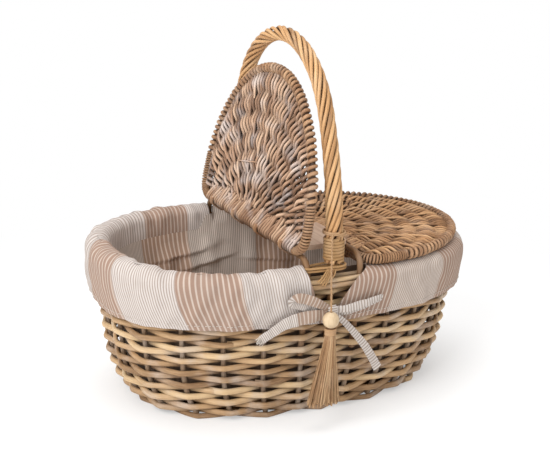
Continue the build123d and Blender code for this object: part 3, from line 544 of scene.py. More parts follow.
@dataclass(frozen=True)
class RodFinish(Finish):
    """Willow, cane or yarn with a grain along each rod."""

    name: str
    dark: Colour
    middle: Colour
    light: Colour
    wash: Colour
    wash_share: float = 0.35
    # The next colour is painted shade, mixed in by the rod's tuck attribute.
    painted_shade: Colour = linear(78, 56, 42)
    roughness: float = 0.55
    streak: float = 40.0
    depth: float = 0.0004
    fine_scale: float = 2.2
    broad_scale: float = 0.45
    patch_scale: float = 38.0
    tone: tuple[float, float, float, float] = (0.55, 0.35, 0.5, 0.2)
    painted_shade_share: float = 0.88

    def paint(self, book: NodeBook, shader: Node) -> None:
        """Mix the rod's shade of colour, its grain, weathered patches and painted shade where it is tucked
        or lies in a groove.

        Args:
            book: The node tree.
            shader: The shader that it feeds.
        """
        shade = book.attribute("shade").outputs["Fac"]
        ring = book.attribute("ring").outputs["Vector"]
        along = book.attribute("along").outputs["Fac"]
        tuck = book.attribute("tuck").outputs["Fac"]
        place = book.add("ShaderNodeTexCoord").outputs["Object"]
        apart = book.add("ShaderNodeSeparateXYZ")
        book.join(ring, apart.inputs[0])
        grain = book.add("ShaderNodeCombineXYZ")
        book.join(apart.outputs[0], grain.inputs[0])
        book.join(apart.outputs[1], grain.inputs[1])
        book.join(book.math("MULTIPLY", along, self.streak), grain.inputs[2])
        turn = book.math("MULTIPLY", shade, 37.0)
        fine = book.noise(grain.outputs[0], self.fine_scale, 5.0, turn)
        broad = book.noise(grain.outputs[0], self.broad_scale, 2.0, turn)
        patch = book.noise(place, self.patch_scale, 4.0)
        fine_share, broad_share, shade_share, drop = self.tone
        tone = book.math("MULTIPLY", fine, fine_share)
        tone = book.math("ADD", tone, book.math("MULTIPLY", broad, broad_share))
        tone = book.math("ADD", tone, book.math("MULTIPLY", shade, shade_share))
        tone = book.math("SUBTRACT", tone, drop)
        colour = book.mix(book.step(tone, 0.1, 0.55), self.dark, self.middle)
        colour = book.mix(book.step(tone, 0.45, 0.9), colour, self.light)
        wash = book.math("MULTIPLY", book.step(patch, 0.45, 0.7), self.wash_share)
        wash = book.math("MULTIPLY", wash, book.math("ADD", fine, 0.4))
        colour = book.mix(wash, colour, self.wash)
        # Painted shade: darken the colour by the tuck attribute.
        colour = book.mix(book.math("MULTIPLY", tuck, self.painted_shade_share), colour, self.painted_shade)
        book.join(colour, shader.inputs["Base Color"])
        shader.inputs["Roughness"].default_value = self.roughness
        self.bump(book, shader, fine, self.depth)


@dataclass(frozen=True)
class ClothFinish(Finish):
    """Striped cotton: bands of brown with cream lines between fine pinstripes."""

    name: str
    ground: Colour
    pin: Colour
    band: Colour
    line: Colour
    repeat: float = 0.122
    band_share: float = 0.479
    phase: float = 0.0
    lines: float = 12.0
    # inside: brightness of painted light at the start of V, inside the rim; 1 paints none.
    inside: float = 1.0
    inside_depth: Pair = (0.011, 0.024)
    pin_pitch: float = 0.0024
    band_edge: float = 0.012
    wander: float = 0.0016

    def paint(self, book: NodeBook, shader: Node) -> None:
        """Draw the stripes along U and the weave, with painted light that brightens the start of V, inside
        the rim.

        Args:
            book: The node tree.
            shader: The shader that it feeds.
        """
        spot = book.add("ShaderNodeUVMap", uv_map="Cloth").outputs[0]
        apart = book.add("ShaderNodeSeparateXYZ")
        book.join(spot, apart.inputs[0])
        place = book.add("ShaderNodeTexCoord").outputs["Object"]
        wander = book.math("SUBTRACT", book.noise(place, 30.0, 2.0), 0.5)
        u = book.math("ADD", apart.outputs[0], book.math("MULTIPLY", wander, self.wander))
        lap = book.math("FRACT", book.math("ADD", book.math("DIVIDE", u, self.repeat), self.phase))
        band = book.math(
            "MULTIPLY",
            book.step(lap, 0.0, self.band_edge),
            book.fade(lap, self.band_share, self.band_share + self.band_edge),
        )
        cream = self._lines(book, book.math("MULTIPLY", lap, self.lines / self.band_share), 0.1, 0.22)
        pin = self._lines(book, book.math("DIVIDE", u, self.pin_pitch), 0.14, 0.3)
        plain = book.mix(book.math("MULTIPLY", pin, 0.9), self.ground, self.pin)
        striped = book.mix(book.math("MULTIPLY", cream, 0.7), self.band, self.line)
        colour = book.mix(band, plain, striped)
        mottle = book.step(book.noise(place, 60.0, 4.0), 0.4, 0.75)
        colour = book.mix(book.math("MULTIPLY", mottle, 0.22), colour, self.pin)
        # Painted light: brighten the start of V by the inside factor.
        inside_light = book.add("ShaderNodeHueSaturation")
        inside_light.inputs["Value"].default_value = self.inside
        book.join(book.fade(apart.outputs[1], *self.inside_depth), inside_light.inputs["Fac"])
        book.join(colour, inside_light.inputs["Color"])
        book.join(inside_light.outputs["Color"], shader.inputs["Base Color"])
        shader.inputs["Roughness"].default_value = 0.92
        shader.inputs["Specular IOR Level"].default_value = 0.12
        weave = book.noise(place, 900.0, 2.0)
        self.bump(book, shader, weave, 0.0004)

    @staticmethod
    def _lines(book: NodeBook, run: object, thin: float, wide: float) -> Socket:
        """Soft lines, one to each whole number of the run."""
        away = book.math("ABSOLUTE", book.math("SUBTRACT", book.math("FRACT", run), 0.5))
        return book.fade(away, thin, wide)


@dataclass(frozen=True)
class WoodFinish(Finish):
    """Solid wood with grain along one axis of the part and a few dark flecks."""

    name: str
    dark: Colour
    light: Colour
    fleck: Colour
    stretch: Numbers = (1.0, 0.08, 1.0)
    scale: float = 160.0
    fleck_low: float = 0.66
    roughness: float = 0.6

    def paint(self, book: NodeBook, shader: Node) -> None:
        """Stretch noise along the grain and add flecks.

        Args:
            book: The node tree.
            shader: The shader that it feeds.
        """
        place = book.add("ShaderNodeTexCoord").outputs["Object"]
        mapping = book.add("ShaderNodeMapping")
        mapping.inputs["Scale"].default_value = self.stretch
        book.join(place, mapping.inputs["Vector"])
        grain = book.noise(mapping.outputs[0], self.scale, 5.0)
        spots = book.noise(mapping.outputs[0], self.scale * 0.35, 3.0, 4.0)
        colour = book.mix(book.step(grain, 0.3, 0.7), self.dark, self.light)
        colour = book.mix(book.step(spots, self.fleck_low, self.fleck_low + 0.06), colour, self.fleck)
        book.join(colour, shader.inputs["Base Color"])
        shader.inputs["Roughness"].default_value = self.roughness
        self.bump(book, shader, grain, 0.0003)


WALL_WILLOW = RodFinish(
    "wall willow", *shades((122, 92, 64), (178, 144, 106), (208, 180, 140), (192, 180, 170)),
    wash_share=0.55,
)
STAKE_WILLOW = RodFinish(
    "stake willow", *shades((104, 84, 66), (148, 124, 100), (178, 156, 130), (176, 168, 160)),
    wash_share=0.6,
)
HANDLE_WILLOW = RodFinish(
    "handle willow", *shades((104, 68, 40), (192, 146, 98), (228, 190, 142), (216, 190, 156)),
    wash_share=0.3,
)
LID_TAN = RodFinish(
    "right lid willow", *shades((98, 66, 40), (184, 136, 92), (216, 172, 126), (204, 180, 156)),
    wash_share=0.3, painted_shade=linear(60, 42, 30),
)
LID_GREY = RodFinish(
    "left lid willow", *shades((84, 58, 42), (172, 134, 106), (222, 188, 158), (218, 214, 214)),
    wash_share=0.55, painted_shade=linear(48, 34, 26), roughness=0.42,
)
LID_EDGE = RodFinish(
    "lid edge wrap", *shades((80, 54, 36), (152, 112, 80), (200, 160, 122), (192, 174, 156)),
    wash_share=0.45, painted_shade=linear(56, 38, 26),
)
CANE = RodFinish(
    "split cane", *shades((112, 78, 46), (166, 128, 84), (192, 154, 108), (184, 162, 134)), wash_share=0.3
)
HINGE_CANE = RodFinish(
    "hinge cane", *shades((80, 54, 34), (142, 104, 72), (178, 140, 104), (174, 150, 128)),
    wash_share=0.25, painted_shade=linear(60, 38, 24),
)
BROWN_ROD = RodFinish(
    "brown rod", *shades((84, 58, 38), (134, 100, 68), (168, 132, 96), (160, 140, 122))
)
JUTE = RodFinish(
    "jute yarn", *shades((122, 88, 58), (172, 136, 100), (204, 172, 134), (196, 170, 142)),
    wash_share=0.3, roughness=0.9, streak=260.0,
)
THREAD = RodFinish(
    "thread", *shades((172, 160, 148), (204, 194, 184), (222, 214, 204), (212, 204, 196)),
    wash_share=0.2, roughness=0.9,
)
# The bag's cloth is the cuffs' cloth drawn lighter: painted light where the bag lies in shade.
LIT_LINER = ClothFinish(
    "liner cloth", *shades((214, 202, 192), (156, 140, 127), (170, 140, 120), (230, 213, 199)),
    repeat=0.151, band_share=0.43, phase=0.208, lines=11.0,
)
# The left cuff's inner skirt is brightened with painted light.
LINER_LEFT = ClothFinish(
    "left cuff cloth", *shades((198, 190, 185), (152, 138, 129), (150, 125, 110), (199, 185, 174)),
    phase=0.2197, inside=1.25,
)
LINER_RIGHT = ClothFinish(
    "right cuff cloth", *shades((197, 185, 176), (150, 132, 119), (150, 124, 108), (199, 185, 174)),
    phase=-0.045,
)
# A dark sheet just outside the bag: painted shade seen through the gaps of the wall and the split.
LINER_SHADE_SHEET = WoodFinish(
    "painted shade behind the liner", *shades((84, 66, 52), (112, 92, 76), (70, 54, 42)),
    stretch=(1.0, 1.0, 1.0), scale=90.0,
)
TAPE = ClothFinish(
    "tie tape", *shades((202, 194, 188), (150, 136, 126), (154, 130, 114), (204, 192, 180)),
    repeat=0.16, band_share=0.365, phase=-0.3,
)
BRIDGE_WOOD = WoodFinish("bridge wood", *shades((196, 160, 134), (226, 198, 174), (92, 58, 40)))
BEAD_WOOD = WoodFinish(
    "bead wood", *shades((186, 160, 128), (206, 184, 152), (178, 148, 112)),
    stretch=(1.0, 1.0, 0.15), scale=260.0,
)
CORE_WOOD = WoodFinish("core willow", *shades((118, 80, 48), (172, 128, 84), (84, 54, 32)))


def show(name: str, data: bpy.types.ID) -> Piece:
    """Make an object and link it to the scene.

    Args:
        name: Name of the object.
        data: Its mesh, curve, camera or light.

    Returns:
        The object.
    """
    made = bpy.data.objects.new(name, data)
    bpy.context.scene.collection.objects.link(made)
    return made


class RodTree:
    """Geometry nodes that lay a rod along every path of a mesh."""

    def __init__(self, lay: Lay) -> None:
        """Write the tree.

        Args:
            lay: How the cross-section is turned along a path.
        """
        self.tree = bpy.data.node_groups.new(f"rods {lay.name.lower()}", "GeometryNodeTree")
        face = self.tree.interface
        face.new_socket("Geometry", in_out="INPUT", socket_type="NodeSocketGeometry")
        self.keys = {}
        for name, kind in (("Sides", "Int"), ("Wide", "Float"), ("Finish", "Material")):
            item = face.new_socket(name, in_out="INPUT", socket_type=f"NodeSocket{kind}")
            self.keys[name] = item.identifier
        face.new_socket("Geometry", in_out="OUTPUT", socket_type="NodeSocketGeometry")
        self._write(NodeBook(self.tree), lay)

    def _write(self, book: NodeBook, lay: Lay) -> None:
        """Add and link the nodes.

        Args:
            book: The tree.
            lay: How the cross-section is turned.
        """
        given = book.add("NodeGroupInput")
        paths = book.after(given, "GeometryNodeMeshToCurve")
        turned = book.after(paths, "GeometryNodeSetCurveNormal", mode=lay.value)
        girth = book.add("GeometryNodeInputNamedAttribute", data_type="FLOAT")
        girth.inputs["Name"].default_value = "girth"
        sized = book.after(turned, "GeometryNodeSetCurveRadius")
        book.join(girth.outputs["Attribute"], sized.inputs["Radius"])
        run = book.add("GeometryNodeSplineParameter").outputs["Length"]
        along = self._store(book, sized, "along", "FLOAT", run)
        circle = book.add("GeometryNodeCurvePrimitiveCircle")
        circle.inputs["Radius"].default_value = 1.0
        book.join(given.outputs["Sides"], circle.inputs["Resolution"])
        spot = book.add("GeometryNodeInputPosition").outputs[0]
        ring = self._store(book, circle, "ring", "FLOAT_VECTOR", spot)
        size = book.add("ShaderNodeCombineXYZ")
        book.join(given.outputs["Wide"], size.inputs[0])
        size.inputs[1].default_value = size.inputs[2].default_value = 1.0
        shaped = book.after(ring, "GeometryNodeTransform")
        book.join(size.outputs[0], shaped.inputs["Scale"])
        swept = book.after(along, "GeometryNodeCurveToMesh")
        swept.inputs["Fill Caps"].default_value = True
        book.join(shaped.outputs[0], swept.inputs["Profile Curve"])
        if "Scale" in swept.inputs:
            book.join(book.add("GeometryNodeInputRadius").outputs[0], swept.inputs["Scale"])
        soft = book.after(swept, "GeometryNodeSetShadeSmooth")
        whole = book.after(soft, "GeometryNodeRealizeInstances")
        dressed = book.after(whole, "GeometryNodeSetMaterial")
        book.join(given.outputs["Finish"], dressed.inputs["Material"])
        book.after(dressed, "NodeGroupOutput")

    @staticmethod
    def _store(book: NodeBook, source: Node, name: str, kind: str, value: Socket) -> Node:
        """Store a value by name on the points of a curve.

        Args:
            book: The tree.
            source: Node with the curve.
            name: Name of the attribute.
            kind: Its data type.
            value: Socket with the value.

        Returns:
            The storing node.
        """
        node = book.after(source, "GeometryNodeStoreNamedAttribute", data_type=kind, domain="POINT")
        node.inputs["Name"].default_value = name
        book.join(value, node.inputs["Value"])
        return node


class Workshop:
    """Turns rods and grids into finished mesh objects."""

    def __init__(self) -> None:
        """Write the rod trees."""
        self.trees = {lay: RodTree(lay) for lay in Lay}

    def rods(
        self,
        name: str,
        rods: list[Rod],
        finish: Finish,
        lay: Lay = Lay.FREE,
        sides: int = 8,
        wide: float = 1.0,
    ) -> Piece:
        """Sweep rods along their paths.

        Args:
            name: Name of the new object.
            rods: The rods, in millimetres.
            finish: Surface of the rods.
            lay: How the cross-section is turned.
            sides: Corners of the cross-section.
            wide: Size of the cross-section along its normal, as a share of the girth.

        Returns:
            A plain mesh object at the origin.
        """
        paths = self._paths(name, rods)
        tree = self.trees[lay]
        modifier = paths.modifiers.new("rods", "NODES")
        modifier.node_group = tree.tree
        values = {"Sides": sides, "Wide": wide, "Finish": finish.material()}
        for key, value in values.items():
            modifier[tree.keys[key]] = value
        return self.convert(name, paths)

    def convert(self, name: str, source: Piece) -> Piece:
        """Turn a modified object into a plain mesh object.

        Args:
            name: Name of the new object.
            source: Object with its modifier, which is removed with it.

        Returns:
            The plain object.
        """
        bpy.context.view_layer.update()
        graph = bpy.context.evaluated_depsgraph_get()
        mesh = bpy.data.meshes.new_from_object(source.evaluated_get(graph), depsgraph=graph)
        mesh.name = name
        bpy.data.objects.remove(source)
        return show(name, mesh)

    def grid(
        self,
        name: str,
        points: Array,
        spots: Array,
        finish: Finish,
        wrap: bool = False,
        flip: bool = False,
    ) -> Piece:
        """Make a sheet from a grid of points.

        Args:
            name: Name of the new object.
            points: Points in millimetres, of shape (rows, columns, 3).
            spots: Cloth coordinates in metres, of shape (rows, columns, 2).
            finish: Surface of the sheet.
            wrap: True where the last column joins the first.
            flip: True to turn the faces over.

        Returns:
            The sheet at the origin.
        """
        rows, columns = points.shape[:2]
        index = np.arange(rows * columns).reshape(rows, columns)
        ahead = np.roll(index, -1, axis=1) if wrap else index[:, 1:]
        here = index if wrap else index[:, :-1]
        quads = np.stack([here[:-1], ahead[:-1], ahead[1:], here[1:]], axis=-1).reshape(-1, 4)
        if flip:
            quads = quads[:, ::-1]
        return self.cloth(name, points.reshape(-1, 3), spots.reshape(-1, 2), quads.tolist(), finish)

    @staticmethod
    def cloth(name: str, points: Array, spots: Array, quads: list, finish: Finish) -> Piece:
        """Make a sheet from points and faces.

        Args:
            name: Name of the new object.
            points: Points in millimetres, of shape (count, 3).
            spots: Cloth coordinates in metres, of shape (count, 2).
            quads: Corners of the faces.
            finish: Surface of the sheet.

        Returns:
            The sheet at the origin.
        """
        mesh = bpy.data.meshes.new(name)
        mesh.from_pydata((points * MM).tolist(), [], quads)
        layer = mesh.uv_layers.new(name="Cloth")
        loops = np.empty(len(mesh.loops), dtype=np.int32)
        mesh.loops.foreach_get("vertex_index", loops)
        layer.data.foreach_set("uv", spots[loops].astype(np.float32).ravel())
        mesh.polygons.foreach_set("use_smooth", [True] * len(mesh.polygons))
        mesh.materials.append(finish.material())
        mesh.validate()
        return show(name, mesh)

    def _paths(self, name: str, rods: list[Rod]) -> Piece:
        """Make a mesh of polylines that carries each rod's girth, shade of colour and tuck, its painted
        shade.

        Args:
            name: Name of the piece.
            rods: The rods.

        Returns:
            The object with the polylines.
        """
        points, edges, girths, tints, tucks = [], [], [], [], []
        for rod in rods:
            first = sum(len(p) for p in points)
            count = len(rod.points)
            points.append(rod.points)
            edges += [(first + i, first + i + 1) for i in range(count - 1)]
            if rod.closed:
                edges.append((first + count - 1, first))
            girths.append(np.broadcast_to(rod.girth, count) * MM)
            tints.append(np.full(count, rod.shade))
            tucks.append(np.broadcast_to(rod.tuck, count))
        mesh = bpy.data.meshes.new(f"{name} paths")
        mesh.from_pydata((np.vstack(points) * MM).tolist(), edges, [])
        for key, values in (("girth", girths), ("shade", tints), ("tuck", tucks)):
            layer = mesh.attributes.new(key, "FLOAT", "POINT")
            layer.data.foreach_set("value", np.concatenate(values).astype(np.float32))
        return show(mesh.name, mesh)


class GrooveShade:
    """Painted shade in the grooves of swept rods, kept in their "tuck" attribute."""

    open_facing: float = 0.8
    groove_span: float = 0.6
    # Height above the middle of a weave from which no shade is painted.
    unshaded_height: float = 4.8

    def __init__(self, piece: Piece) -> None:
        """Read the vertices.

        Args:
            piece: Swept rods.
        """
        self.store = piece.data.attributes["tuck"].data
        self.normals = self._read(piece.data.vertex_normals, "vector", 3)
        self.spots = self._read(piece.data.vertices, "co", 3) / MM
        self.tuck = self._read(self.store, "value", 1)[:, 0]

    def flanks(self, outwards: Array, depth: float) -> None:
        """Paint shade on the flanks, where neighbours touch, by depth, 0 to 1, away from the open
        direction.
        """
        facing = np.abs(np.sum(self.normals * outwards, axis=1))
        self._darken(depth * np.clip((self.open_facing - facing) / self.groove_span, 0, 1))

    def wound(self, line: Array, depth: float) -> None:
        """Paint shade on the flanks of rods that are wound round a line.

        Args:
            line: Points of the line in millimetres.
            depth: Painted shade in the deepest grooves, from 0 to 1.
        """
        tree = KDTree(len(line))
        for index, point in enumerate(line):
            tree.insert(point, index)
        tree.balance()
        away = self.spots - line[[tree.find(spot)[1] for spot in self.spots]]
        self.flanks(unit(away), depth)

    def hollows(self, origin: Array, upright: Array) -> None:
        """Paint shade on what lies deep in a flat weave, seen from either face of the plane through its
        middle.
        """
        high = (self.spots - origin) @ upright * np.sign(self.normals @ upright)
        self._darken(np.clip(1.04 - high / self.unshaded_height, 0, 1) ** 1.8)

    @staticmethod
    def _read(source: bpy.types.bpy_prop_collection, name: str, width: int) -> Array:
        """Values of a collection, one row for each vertex.

        Args:
            source: The collection.
            name: Property to read.
            width: Numbers in a row.

        Returns:
            The rows.
        """
        values = np.empty(len(source) * width, np.float32)
        source.foreach_get(name, values)
        return values.reshape(-1, width)

    def _darken(self, amount: Array) -> None:
        """Store the larger of the old and the new amounts of painted shade."""
        self.tuck = np.maximum(self.tuck, amount).astype(np.float32)
        self.store.foreach_set("value", self.tuck)


def place(piece: Piece, body: Body, slot: str, *nodes: str) -> Piece:
    """Put a finished piece on its body and log it.

    Args:
        piece: The finished piece.
        body: Body that it rides on.
        slot: Material slot of the record, not used.
        nodes: CAD nodes that it stands for.

    Returns:
        The piece.
    """
    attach(piece, body.value)
    if nodes:
        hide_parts(*nodes)
    LOG.info("%s: %d faces on %s", piece.name, len(piece.data.polygons), body.value)
    return piece


@dataclass
class WovenWall:
    """Stakes and the randed rows of the wall."""

    shop: Workshop
    rng: np.random.Generator
    samples: int = 12
    kink: float = 0.993
    linger: float = 0.11
    clearance: float = 2.5
    lowest: float = 2.9
    sway: float = 0.55
    shadow: float = 0.86
    rods_per_row: int = 3
    girths: Pair = (3.5, 2.95)
    tucked_ends: Numbers = (2.2, 1.4, 0.5)
    stake_girths: Pair = (2.7, 2.3)
    short_stake: float = 60.0

    def build(self) -> None:
        """Build the stakes and the rows."""
        rods = [rod for row in range(-1, ROW_COUNT) for rod in self.row(row)]
        weave = self.shop.rods("wall_weave", rods, WALL_WILLOW, Lay.LEVEL, wide=0.76)
        place(weave, Body.BASKET, "willow", "lower_side_weave", "upper_side_weave")
        stakes = self.shop.rods("wall_stakes", self.stakes(), STAKE_WILLOW)
        place(stakes, Body.BASKET, "willow", "side_stakes")

    def row(self, row: int) -> list[Rod]:
        """One course of weaving, pieced from a few rods.

        Args:
            row: Number of the row from the bottom, -1 for the foot.

        Returns:
            The rods of the course.
        """
        z = max(ROW_FOOT + ROW_PITCH * row, self.lowest)
        line = SHAPE.line(z)
        stations = SHAPE.stations(z)
        count = len(stations)
        arcs = [line.arc_of(turn) for turn, _, _ in stations]
        arcs.append(arcs[0] + line.length)
        faces = [1 if (i + row) % 2 else -1 for i in range(count)] + [1 if row % 2 else -1]
        outs = [
            shift + face * (radius + self.clearance)
            for face, (_, shift, radius) in zip(faces, [*stations, stations[0]])
        ]
        ticks = np.linspace(0, 1, self.samples + 1)[:-1]
        share = ticks - self.linger * np.sin(2 * math.pi * ticks)
        wave = crossing(share, self.kink)
        along, out = [], []
        for i in range(count):
            along.append(arcs[i] + (arcs[i + 1] - arcs[i]) * share)
            out.append((outs[i] + outs[i + 1]) / 2 + (outs[i] - outs[i + 1]) / 2 * wave)
        along, out = np.concatenate(along), np.concatenate(out)
        sway = self.sway * Waves(SEED + 1 + row, 60, 260).at(along)
        height = z + sway * (1 if row > 0 else 0.1)
        places = np.column_stack([line.at(along, out), height])
        # Painted shade, deeper where the course passes inside the stakes.
        return self._pieces(places, self.shadow * np.clip((1.0 - out) / 7.0, 0, 1) ** 1.3)

    def _pieces(self, places: Array, tuck: Array) -> list[Rod]:
        """Cut a course into rods whose ends tuck behind the next rod.

        Args:
            places: Points of the course.
            tuck: Painted shade at each point.

        Returns:
            The rods.
        """
        total = len(places)
        cuts = np.sort(self.rng.choice(total, self.rods_per_row, replace=False))
        rods = []
        for first, last in zip(cuts, np.append(cuts[1:], cuts[0] + total)):
            picked = np.arange(first - 2, last + 3) % total
            points = places[picked].copy()
            ends = np.zeros(len(picked))
            ends[:3], ends[-3:] = self.tucked_ends, self.tucked_ends[::-1]
            points[:, :2] -= unit(points[:, :2]) * ends[:, None]
            girth = np.linspace(*self.girths, len(picked)) * self.rng.uniform(0.94, 1.02)
            girth = np.minimum(girth, points[:, 2])
            rods.append(Rod(points, girth, float(self.rng.uniform(0, 1)), tuck[picked]))
        return rods

    def stakes(self) -> list[Rod]:
        """Upright stakes, which follow the curve of the foot and stop under a leg or a post.

        Returns:
            The stakes.
        """
        levels = np.concatenate([np.linspace(4.5, 57, 12), np.linspace(70, 136, 6)])
        per_half = END_STAKES + 3
        rods = []
        for i, (turn, _, _) in enumerate(SHAPE.stations(0.0)):
            leg_or_post = i % per_half in (0, 1, per_half - 1)
            top = self.short_stake if leg_or_post else levels[-1]
            points = []
            for z in levels[levels <= top]:
                line = SHAPE.line(z)
                points.append((*line.at(np.array([line.arc_of(turn)]))[0], z))
            girth = np.linspace(*self.stake_girths, len(points))
            # Light painted shade on the stakes, which the rows cover.
            rods.append(Rod(np.array(points), girth, float(self.rng.uniform(0.1, 0.7)), 0.25))
        return rods


@dataclass
class RimBorder:
    """Rods laid along the rim inside and outside the stakes."""

    shop: Workshop
    rng: np.random.Generator
    courses: tuple[Numbers, ...] = (
        (6.4, 139.2, 2.5),
        (5.4, 144.2, 2.3),
        (-6.4, 139.2, 2.5),
        (-5.6, 144.0, 2.3),
    )
    cap_half: float = 205.0
    cap_height: float = 145.6
    cap_girth: float = 1.9

    def build(self) -> None:
        """Build the border rods and the caps over both ends."""
        line = SHAPE.line(SHAPE.rim)
        arcs = np.linspace(0, line.length, 161)[:-1]
        rods = []
        for out, z, girth in self.courses:
            sway = Waves(int(z) + int(out), 40, 160).at(arcs)
            points = np.column_stack([line.at(arcs, out + 0.35 * sway), z + 0.3 * sway])
            # Light painted shade on the border rods.
            rods.append(Rod(points, girth, float(self.rng.uniform(0, 1)), 0.1, True))
        for side in Side:
            middle = line.length * (0.25 if side is Side.RIGHT else 0.75)
            span = np.linspace(middle - self.cap_half, middle + self.cap_half, 90)
            points = np.column_stack([line.at(span), np.full(len(span), self.cap_height)])
            # Light painted shade on the caps.
            rods.append(Rod(points, self.cap_girth, float(self.rng.uniform(0, 1)), 0.1))
        border = self.shop.rods("rim_rods", rods, WALL_WILLOW, Lay.LEVEL, 10)
        place(border, Body.BASKET, "willow", "rim_border")


@dataclass(frozen=True)
class HandlePath:
    """Line of the arched handle above the rim, walked from the front foot to the back foot."""

    foot: float = 160.3
    side_turns: Pair = (-6.56, 23.34)
    side_centre: Pair = (-213.2, 170.0)
    side_radius: float = 332.2
    top_height: float = 262.0
    top_radius: float = 100.0

    def points(self, count: int) -> Array:
        """Even samples of the arch.

        Args:
            count: Number of samples.

        Returns:
            Points of shape (count, 3).
        """
        start, end = self.side_turns
        side = np.radians(np.linspace(start, end, 160))
        top = np.radians(np.linspace(end, 90.0, 200))[1:]
        y, z = self.side_centre
        wide, narrow = self.side_radius, self.top_radius
        half = np.concatenate(
            [
                np.column_stack([y + wide * np.cos(side), z + wide * np.sin(side)]),
                np.column_stack([narrow * np.cos(top), self.top_height + narrow * np.sin(top)]),
            ]
        )
        half = half[half[:, 1] >= self.foot]
        front = np.column_stack([np.zeros(len(half)), -half[:, 0], half[:, 1]])
        back = (front * (1, -1, 1))[::-1][1:]
        return even(np.vstack([front, back]), count)

    def at_height(self, z: float) -> Array:
        """Point of the front leg at a height."""
        turn = math.asin((z - self.side_centre[1]) / self.side_radius)
        return np.array([0.0, -self.side_centre[0] - self.side_radius * math.cos(turn), z])

    def wound(self, turn: Array, z: Array, reach: float) -> Array:
        """Line wound round the front leg at a distance, by the turn and height of each point."""
        centre = np.array([self.at_height(v) for v in z])
        return centre + reach * np.column_stack([np.sin(turn), -np.cos(turn), np.zeros(len(z))])


ARCH = HandlePath()


@dataclass
class Handle:
    """Roped handle with its collars and the cane lashings below them."""

    shop: Workshop
    rng: np.random.Generator
    strands: int = 8
    turns: float = 4.7
    reach: float = 6.75
    girth: float = 2.36
    taper: Pair = (0.84, 0.16)
    lashed: tuple[Pair, ...] = (
        (-28.6, 5.25), (-12, 6.4), (6, 7), (12.4, 0), (6, -7), (-12, -6.4), (-28.6, -3.25),
        (-31.6, -2), (-32.85, 1.0), (-31.6, 4.0),
    )
    level_canes: Pair = (154.6, 157.4)
    slanting: tuple[Numbers, ...] = (
        (-6.0, -15.0, 155.0, 141.0),
        (-7.5, -17.6, 155.6, 142.4),
        (-9.0, -20.0, 156.0, 144.0),
        (-10.6, -22.6, 156.0, 146.0),
        (-1.5, -7.6, 155.0, 148.0),
    )

    def build(self) -> None:
        """Build the strands, collars and lashings."""
        piece = self.shop.rods("handle_rope", self.rope(), HANDLE_WILLOW, sides=10)
        # Painted shade between the strands of the rope.
        GrooveShade(piece).wound(ARCH.points(700), 0.85)
        place(piece, Body.BASKET, "handle_willow", "handle_strands")
        for name, sign in (("front", 1), ("back", -1)):
            collar = self.shop.rods(f"{name}_collar_cane", [self.collar(sign)], CANE, Lay.LEVEL, wide=0.42)
            place(collar, Body.BASKET, "cane", f"{name}_handle_collar")
            lashing = self.shop.rods(f"{name}_lashing_cane", self.lashing(sign), CANE)
            place(lashing, Body.BASKET, "cane", f"{name}_post_lashing")

    def rope(self) -> list[Rod]:
        """Strands twisted round the core, thinner towards the apex.

        Returns:
            The strands.
        """
        count = 240
        line = ARCH.points(count)
        across = np.array([1.0, 0.0, 0.0])
        normal = np.cross(unit(np.gradient(line, axis=0)), across)
        share = np.linspace(-1, 1, count)
        taper = self.taper[0] + self.taper[1] * share**2
        reach = (self.reach * taper)[:, None]
        rods = []
        for i in range(self.strands):
            sway = 0.09 * Waves(SEED + 60 + i, 0.25, 1.2).at(share)
            turn = 2 * math.pi * (i / self.strands + self.turns * share / 2) + sway
            points = line + reach * (np.cos(turn)[:, None] * across + np.sin(turn)[:, None] * normal)
            girth = self.girth * taper * self.rng.uniform(0.94, 1.04)
            rods.append(Rod(points, girth, float(self.rng.uniform(0, 1))))
        return rods

    def collar(self, sign: int) -> Rod:
        """Cane wound seven times round the foot of the rope.

        Args:
            sign: 1 for the front foot, -1 for the back one.

        Returns:
            The cane.
        """
        turn = np.linspace(0, 14 * math.pi, 260)
        points = ARCH.wound(turn, 162.6 + 3.1 * turn / (2 * math.pi), 9.75)
        return Rod(points * (sign, sign, 1), 1.5, 0.55)

    def lashing(self, sign: int) -> list[Rod]:
        """Two level canes round the handle and a post, and slanting canes down over the rim.

        Args:
            sign: 1 for the front foot, -1 for the back one.

        Returns:
            The canes.
        """
        front = -float(SHAPE.line(SHAPE.rim).at(np.array([0.0]))[0][1])
        loop = smooth([*self.lashed, self.lashed[0]], 60)[:-1]
        rods = []
        for i, z in enumerate(self.level_canes):
            points = np.column_stack([loop[:, 0], -front + 1.4 - loop[:, 1], np.full(len(loop), z)])
            rods.append(Rod(points * (sign, sign, 1), 1.25, 0.35 + 0.3 * i, closed=True))
        share = np.linspace(0, 1, 12)
        away = 6.4 + 4.2 * np.sin(share * math.pi * 0.62)
        for x0, x1, z0, z1 in self.slanting:
            points = np.column_stack([x0 + (x1 - x0) * share, -front - away, z0 + (z1 - z0) * share])
            rods.append(Rod(points * (sign, sign, 1), 0.8, float(self.rng.uniform(0.2, 0.9))))
        return rods


